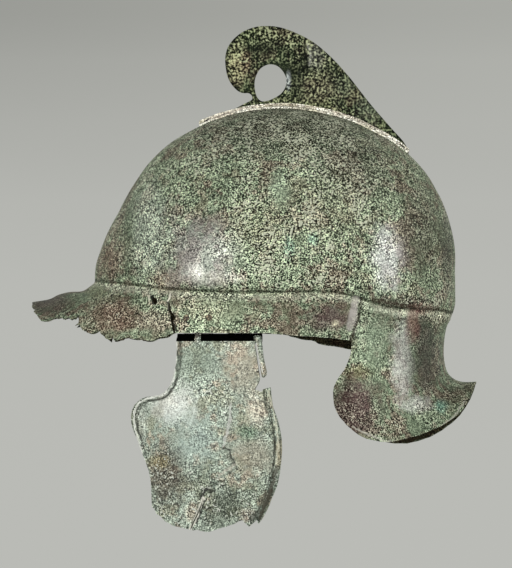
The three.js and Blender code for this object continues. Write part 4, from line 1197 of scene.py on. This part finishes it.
BOWL_LIGHT_AND_SHADE_LINES = [
    # Every line here is painted light: highlights on the band's rear end, the crack's lip, the hole's edge and
    # the neck guard's rolled lower rim, and painted shade in the step beside the band's end, in the crack, in
    # the hole and under the rib at the back.
    ([(53.6, 23.5), (51.6, 14.7), (49.6, 5.4)], 2.8, (188, 182, 176), 0.6),
    ([(57.6, 24.1), (55.6, 12.1), (51.6, 0.0), (48.9, -9.4)], 1.2, (44, 36, 28), 0.6),
    ([(-69.7, 27.5), (-71.7, 22.1), (-69.0, 13.4)], 0.7, (226, 222, 206), 0.9),
    ([(-71.7, 22.1), (-70.4, 16.1), (-67.7, 7.4), (-65.0, 2.7)], 0.9, (16, 14, 10), 0.9),
    ([(-81.7, 25.5), (-80.4, 22.1)], 1.7, (10, 9, 7), 0.95),
    ([(-83.8, 26.1), (-83.8, 22.1)], 0.7, (214, 210, 190), 0.7),
    ([(51.6, -61.0), (70.4, -69.7), (83.8, -71.7), (103.9, -65.7), (118.6, -54.9), (126.6, -44.2)],
     0.7, (200, 198, 184), 0.5),
    ([(65.0, 24.1), (83.8, 20.1), (109.2, 18.1)], 1.5, (60, 48, 38), 0.6),
]
print("bowl:", len(BOWL_STAINS_AND_PAINTED_LIGHT), "stains and", len(BOWL_LIGHT_AND_SHADE_LINES), "streaks")

# %% The stains, painted light and streaks of the crest and its feet
CREST_STAINS_AND_HIGHLIGHT = [
    (5, 177, 13, 7, (24, 32, 18), 0.85, 0.8),
    (20, 154, 17, 4, (110, 116, 84), 0.5, 0),
    (44, 155, 5, 4, (30, 36, 24), 0.8, 0.5),
    (37, 174, 5, 13, (30, 34, 24), 0.7, 0.5),
    (27, 188, 7, 11, (104, 104, 96), 0.85, 0.6),
    (-20, 184, 4, 9, (148, 124, 102), 0.5, 0),
    (21, 176, 5, 3, (38, 44, 28), 0.85, 0),
    (29, 165, 15, 12, (104, 96, 78), 0.6, 0.4),
    (64, 153, 12, 12, (118, 128, 106), 0.6, 0.2),
    # Painted highlight on the turned edge to the right of the hole.
    (9, 171, 2, 7, (216, 224, 226), 0.7, 0),
    (47, 168, 8, 9, (92, 98, 80), 0.6, 0.4),
    (-6, 194, 17, 10, (18, 26, 13), 0.9, 0.7),
    (-26, 181, 7, 17, (134, 128, 98), 0.55, -0.8),
    (-13, 201, 16, 6, (60, 72, 44), 0.5, -0.9),
    (15, 173, 7, 21, (28, 34, 20), 0.9, 0.8),
]
CREST_STREAKS_AND_CRACK_SHADE = [
    # The first line is painted shade in the crack along the scale's edge.
    ([(20.1, 197.0), (20.8, 188.9), (19.4, 180.9), (24.1, 176.2)], 0.8, (18, 20, 14), 0.85),
    ([(28.8, 195.6), (31.5, 187.6), (28.8, 180.9)], 0.7, (40, 42, 34), 0.7),
    ([(22.1, 195.6), (24.1, 187.6), (22.8, 180.9)], 0.7, (176, 176, 166), 0.6),
]
FOOT_STREAKS = [
    ([(-40.9, 145.4), (-31.5, 149.7), (-22.8, 152.4), (-6.7, 154.8), (10.1, 154.8), (33.5, 152.4),
      (46.9, 148.4), (64.3, 141.0), (73.7, 135.3)], 0.7, (104, 84, 68), 0.55),
]
print("crest:", len(CREST_STAINS_AND_HIGHLIGHT), "stains and", len(CREST_STREAKS_AND_CRACK_SHADE + FOOT_STREAKS), "streaks")

# %% The stains, painted light and streaks of the cheekpieces
CHEEK_STAINS_AND_HIGHLIGHTS = [
    # A tan stain, darkened as painted shade on the upper part of the sheet.
    (-21, -21, 15, 23, (144, 132, 112), 0.65, 0.6),
    (-52, -16, 15, 12, (112, 126, 108), 0.7, 0.2),
    (-52, 1, 4, 3, (62, 52, 42), 0.9, 0),
    # Painted highlight on the upper front of the sheet.
    (-67, -46, 17, 15, (200, 200, 194), 0.6, 0.8),
    (-56, -68, 19, 21, (136, 154, 146), 0.6, 0.6),
    (-12, -50, 9, 11, (200, 190, 170), 0.6, 0.6),
    (-89, -56, 5, 17, (166, 172, 160), 0.6, 0.2),
    (-18, -66, 7, 6, (84, 122, 94), 0.75, 0),
    (-31, -56, 3, 19, (168, 172, 162), 0.3, 0),
    (-15, -81, 17, 15, (160, 150, 131), 0.6, 0.8),
    (-72, -93, 15, 23, (74, 66, 50), 0.85, 0),
    (-77, -84, 8, 5, (154, 142, 96), 0.5, 0),
    (-34, -114, 17, 16, (64, 74, 54), 0.8, -0.3),
    (-47, -96, 9, 11, (92, 106, 88), 0.6, 0),
    (-55, -118, 5, 7, (174, 152, 130), 0.5, 0),
    (-13, -105, 9, 11, (100, 112, 88), 0.5, 0),
    (-18, -120, 7, 5, (154, 136, 122), 0.5, 0),
    # Painted highlight on the rear bead, tan.
    (3, -80, 3, 11, (180, 154, 112), 0.4, 0),
]
CHEEK_LIGHT_AND_SHADE_LINES = [
    # All but one of these lines are painted light: highlights on the ridges of both beads, the wrinkle, a
    # tear's lip and the crack's edge, and painted shade beside the beads, in the tears and the crack, and on
    # the rear bead's lower end.
    ([(-65.7, -1.3), (-66.0, -16.1), (-68.0, -30.2), (-74.0, -39.2), (-84.8, -41.9), (-91.1, -45.2),
      (-94.1, -52.6), (-93.1, -63.0), (-90.1, -74.4), (-86.8, -84.4)], 0.7, (240, 242, 232), 0.7),
    ([(-64.0, -1.3), (-64.3, -17.1), (-66.3, -32.5), (-72.7, -41.2), (-83.8, -43.9), (-89.1, -47.2),
      (-92.1, -53.6), (-91.1, -63.0), (-88.1, -73.7), (-84.8, -83.8)], 0.5, (38, 40, 32), 0.65),
    ([(-12.4, -5.4), (-10.7, -14.7), (-8.7, -24.8)], 0.5, (236, 236, 226), 0.7),
    ([(-4.4, -36.9), (-1.7, -48.2), (1.0, -61.6), (2.2, -71.7), (0.7, -86.4)], 0.6, (206, 206, 184), 0.6),
    ([(-6.4, -36.9), (-3.7, -48.2), (-1.0, -61.6), (0.1, -71.7), (-1.5, -86.4), (-6.0, -102.5),
      (-11.7, -117.9)], 0.5, (40, 38, 28), 0.65),
    ([(1.3, -87.1), (-3.0, -103.2), (-10.1, -121.3)], 1.5, (56, 52, 38), 0.75),
    ([(-29.5, -45.6), (-30.2, -56.3), (-32.2, -65.7), (-34.8, -73.7)], 1.0, (206, 206, 200), 0.5),
    ([(-35.5, -75.7), (-32.8, -75.0), (-30.2, -76.4), (-29.5, -79.7), (-26.8, -85.1)],
     0.5, (22, 24, 18), 0.8),
    ([(-26.8, -85.8), (-32.8, -89.8), (-38.9, -95.1)], 0.9, (196, 192, 178), 0.45),
    ([(-21.4, -72.4), (-18.8, -74.4), (-16.1, -72.4)], 0.5, (40, 58, 40), 0.6),
    ([(-47.6, -108.5), (-50.9, -116.6), (-53.6, -123.3), (-56.3, -128.6)], 1.1, (228, 226, 212), 0.9),
    ([(-46.2, -109.9), (-49.6, -117.9), (-52.3, -124.6)], 0.7, (26, 28, 20), 0.8),
    ([(-49.6, -107.9), (-45.6, -102.5), (-40.2, -103.2)], 0.8, (20, 22, 16), 0.8),
]
print("cheekpieces:", len(CHEEK_STAINS_AND_HIGHLIGHTS), "stains and", len(CHEEK_LIGHT_AND_SHADE_LINES), "streaks")

# %% [markdown]
# A stain, and a patch of painted highlight or shade, tints the ground before it corrodes, so the grain and the
# pits go on through it. A streak is drawn over the finished colour, because most streaks are painted
# highlights and painted shade along edges, cracks and beads, which lie over the grain. An image painted by
# hand could hold both, but it would be fixed to one unwrapping and one size of pixel.

# %% Laying stains and streaks
ALL_DEPTHS = 1000
MIDDLE_BLEND = 6 * MM
PATCHES_ON_THE_RIGHT = 0.6


def grouped(tree, group, sockets):
    """A node that uses a group, with its sockets filled. Gives back what comes out of it."""
    return add(tree, "ShaderNodeGroup", sockets, node_tree=group).outputs


def by_side(tree, place, on_the_right):
    """1 on the helmet's left and a given share on its right, with a soft change at the middle."""
    depth = add(tree, "ShaderNodeSeparateXYZ", {0: place}).outputs[1]
    return rising(tree, depth, -MIDDLE_BLEND, MIDDLE_BLEND, 1.0, on_the_right)


def patched(tree, place, ground, patches):
    """Tints a ground with patches of stain and of painted highlight and shade, weaker on the right. Gives back
    the ground and how smooth it is.
    """
    smooth = 0.0
    if not patches:
        return ground, smooth
    side = by_side(tree, place, PATCHES_ON_THE_RIGHT)
    for x, z, half_x, half_z, colour, share, even in patches:
        mask = grouped(tree, patch, {"Place": place, "Centre": (x * MM, 0, z * MM),
                                     "Size": (half_x * MM, ALL_DEPTHS, half_z * MM)})[0]
        mask = times(tree, mask, side)
        ground = mixed(tree, times(tree, mask, share), ground, paint(*colour))
        if even:
            smooth = times(tree, mask, even, plus=smooth)
    return ground, smooth


def streaked(tree, place, colour, streaks):
    """Draws thin lines over a finished colour, on the helmet's left side: mostly painted highlights and
    painted shade along edges, cracks and beads.
    """
    if not streaks:
        return colour
    side = by_side(tree, place, 0.0)
    for points, width, tint, share in streaks:
        for (x, z), (next_x, next_z) in zip(points, points[1:]):
            mask = grouped(tree, streak, {"Place": place, "Start": (x * MM, 0, z * MM), "Width": width * MM,
                                          "Along": ((next_x - x) * MM, 0, (next_z - z) * MM)})[0]
            colour = mixed(tree, times(tree, times(tree, mask, share), side), colour, paint(*tint))
    return colour


# %% [markdown]
# A finish is a material built from those groups, and the pieces differ only in their colours and shares. The
# shader keeps a little metal in it, because the patina is thin and the bronze under it still gives the broad
# grey highlights. The bowl needs two things more, which the two masks on its corners give: along its groove, a
# dark line of painted shade under the overhang with a pale shoulder of painted highlight below it, and an
# inside that is darkened with painted shade.

# %% The bowl's groove
SHOULDER_HIGHLIGHT = 0.45
SKIRT_SMOOTH = 0.45


def attribute(tree, name):
    """A mask that was stored on the mesh's corners."""
    return add(tree, "ShaderNodeAttribute", attribute_name=name).outputs["Fac"]


def with_shoulder_highlight(tree, below, ground, pale):
    """Lays a pale painted highlight in a band just below the groove, where the shoulder faces up to the light.
    """
    band = times(tree, rising(tree, below, 0.8 * MM, 2 * MM), rising(tree, below, 4 * MM, 9 * MM, 1.0, 0.0))
    return mixed(tree, times(tree, band, SHOULDER_HIGHLIGHT), ground, pale)


def with_groove_shade(tree, below, colour, dark):
    """Draws the groove's dark line, painted shade under the bowl's overhang."""
    line = rising(tree, maths(tree, "ABSOLUTE", below), 0.4 * MM, 1.4 * MM, 0.6, 0.0)
    return mixed(tree, line, colour, dark)


# %% The making of a finish
INNER_SHADE = (120, 104, 90)
BUMP_STRENGTH = 0.6
BUMP_HEIGHT = 0.3 * MM


def finish(name, green, brown, olive, dark, pale, brown_share, pits, points, contrast, patches=(), streaks=(),
           crease_shade_mask=None, groove=None, inside=None, metal=0.25, gloss=0.5, marks=1.0):
    """A patina over blotched ground. Creases name a mask of painted shade that darkens cracks, grooves and
    edges, groove names the depth below the bowl's groove, where the finish paints a line of shade and a pale
    highlight, inside names a mask of what gets painted shade, and marks below 1 make the pits and points
    larger."""
    material = bpy.data.materials.new(name)
    material.use_nodes = True
    tree = material.node_tree
    shader = tree.nodes["Principled BSDF"]
    place = add(tree, "ShaderNodeTexCoord").outputs["Object"]
    ground = grouped(tree, blotches, {"Place": place, "Green": paint(*green), "Brown": paint(*brown),
                                      "Olive": paint(*olive), "Brown Share": brown_share})[0]
    if groove:
        below = attribute(tree, groove)
        ground = with_shoulder_highlight(tree, below, ground, paint(*pale))
    ground, smooth = patched(tree, place, ground, patches)
    if groove:
        smooth = maths(tree, "ADD", smooth, rising(tree, below, -2 * MM, 3 * MM, 0.0, SKIRT_SMOOTH))
    scaled = add(tree, "ShaderNodeVectorMath", {0: place, 3: marks}, operation="SCALE").outputs[0]
    look = grouped(tree, corroded, {"Place": scaled, "Ground": ground, "Dark": paint(*dark),
                                    "Pale": paint(*pale), "Pits": pits, "Points": points,
                                    "Contrast": contrast, "Smooth": smooth})
    colour = look["Color"]
    if groove:
        colour = with_groove_shade(tree, below, colour, paint(*dark))
    if crease_shade_mask:
        colour = mixed(tree, attribute(tree, crease_shade_mask), colour, paint(*dark))
    colour = streaked(tree, place, colour, streaks)
    # Painted shade on the bowl's inside.
    if inside:
        inner_shaded = mixed(tree, 1.0, colour, paint(*INNER_SHADE), "MULTIPLY")
        colour = mixed(tree, attribute(tree, inside), colour, inner_shaded)
    tree.links.new(colour, shader.inputs["Base Color"])
    tree.links.new(look["Roughness"], shader.inputs["Roughness"])
    shader.inputs["Metallic"].default_value = metal
    shader.inputs["Specular IOR Level"].default_value = gloss
    bump = add(tree, "ShaderNodeBump", {"Height": look["Height"], "Strength": BUMP_STRENGTH,
                                        "Distance": BUMP_HEIGHT})
    tree.links.new(bump.outputs[0], shader.inputs["Normal"])
    return material


# %% [markdown]
# Six finishes follow from it. The bowl is mottled green and brown, the crest is darker with larger marks, its
# feet are pale, and the cheekpieces are smoother and greyer. The hinges and rivets are a dull brown, and what
# lies deep under the rim is painted black, as shade.

# %% The finishes
bowl_finish = finish(
    "green_bronze_patina", green=(115, 130, 105), brown=(111, 102, 86), olive=(105, 108, 86),
    dark=(30, 34, 22), pale=(214, 218, 194), brown_share=0.4, pits=0.5, points=0.5, contrast=1.4,
    patches=BOWL_STAINS_AND_PAINTED_LIGHT, streaks=BOWL_LIGHT_AND_SHADE_LINES, groove="below_groove", inside="inside", metal=0.35, gloss=0.12)
crest_finish = finish(
    "dark_bronze_patina", green=(46, 58, 36), brown=(60, 54, 40), olive=(60, 66, 42),
    dark=(12, 18, 9), pale=(186, 192, 152), brown_share=0.4, pits=0.5, points=0.45, contrast=1.1,
    patches=CREST_STAINS_AND_HIGHLIGHT, streaks=CREST_STREAKS_AND_CRACK_SHADE, crease_shade_mask="crease_shade", gloss=0.1, marks=0.62)
foot_finish = finish(
    "pale_bronze_patina", green=(242, 240, 224), brown=(222, 214, 196), olive=(206, 202, 178),
    dark=(60, 60, 46), pale=(232, 228, 208), brown_share=0.4, pits=0.4, points=0.5, contrast=0.7,
    streaks=FOOT_STREAKS)
cheek_finish = finish(
    "cheek_bronze_patina", green=(152, 165, 149), brown=(160, 152, 132), olive=(140, 146, 124),
    dark=(40, 48, 36), pale=(228, 232, 218), brown_share=0.3, pits=0.45, points=0.35, contrast=0.65,
    patches=CHEEK_STAINS_AND_HIGHLIGHTS, streaks=CHEEK_LIGHT_AND_SHADE_LINES, crease_shade_mask="crease_shade")
hinge_finish = finish(
    "brown_bronze_patina", green=(88, 86, 66), brown=(76, 62, 50), olive=(60, 56, 42),
    dark=(26, 24, 18), pale=(170, 160, 130), brown_share=0.55, pits=0.5, points=0.35, contrast=0.8)
shade_black_finish = finish(
    "black_painted_shade", green=(3, 3, 3), brown=(4, 4, 3), olive=(3, 3, 2), dark=(2, 2, 2), pale=(9, 9, 8),
    brown_share=0.5, pits=0.5, points=0.3, contrast=0.6, metal=0.0, gloss=0.0)

for piece, material in ((bowl, bowl_finish), (crest, crest_finish), (feet["left"], foot_finish),
                        (feet["right"], foot_finish), (cheek, cheek_finish), (cheek_right, cheek_finish),
                        (strip, cheek_finish)):
    piece.data.materials.clear()
    piece.data.materials.append(material)
print("finishes:", [material.name for material in bpy.data.materials])

# %% [markdown]
# The rivets, the hinge leaves and the pins are right as the CAD model has them, so they stay, and only get a
# finish. The part of each cheekpiece that is set back under the rim is painted black as shade, all but the
# tongue. Faces can carry a second material by their place, so no cut through the mesh is needed for that.

# %% The finish of the small parts
small_parts = [piece for name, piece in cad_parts.items() if name.startswith(("crest_rivet", "hinge"))]
for piece in small_parts:
    for slot in piece.material_slots:
        slot.material = hinge_finish

PAINTED_SHADE_Z = HINGE[2] - SET_BACK_DROPS[1]
UNSHADED_HALF = 2.2
for piece in (cheek, cheek_right):
    piece.data.materials.append(shade_black_finish)
    for face in piece.data.polygons:
        middle = face.center / MM
        along = (middle.x - HINGE[0]) / math.cos(HINGE_TURN)
        face.material_index = int(middle.z > PAINTED_SHADE_Z and abs(along) > UNSHADED_HALF)
print("small parts with a finish:", len(small_parts))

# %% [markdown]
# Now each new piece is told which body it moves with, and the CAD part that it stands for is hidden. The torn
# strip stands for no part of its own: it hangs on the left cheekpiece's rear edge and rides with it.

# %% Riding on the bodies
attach(bowl, "shell")
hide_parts("helmet_bowl")
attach(crest, "shell")
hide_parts("crest_plate")
for name, foot in feet.items():
    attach(foot, "shell")
    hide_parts(f"crest_foot_{name}")
for name, piece in (("left", cheek), ("right", cheek_right)):
    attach(piece, f"{name}_cheek")
    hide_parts(f"cheekpiece_{name}")
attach(strip, "left_cheek")
new_pieces = (bowl, crest, *feet.values(), cheek, cheek_right, strip)
print("made anew:", [piece.name for piece in new_pieces])
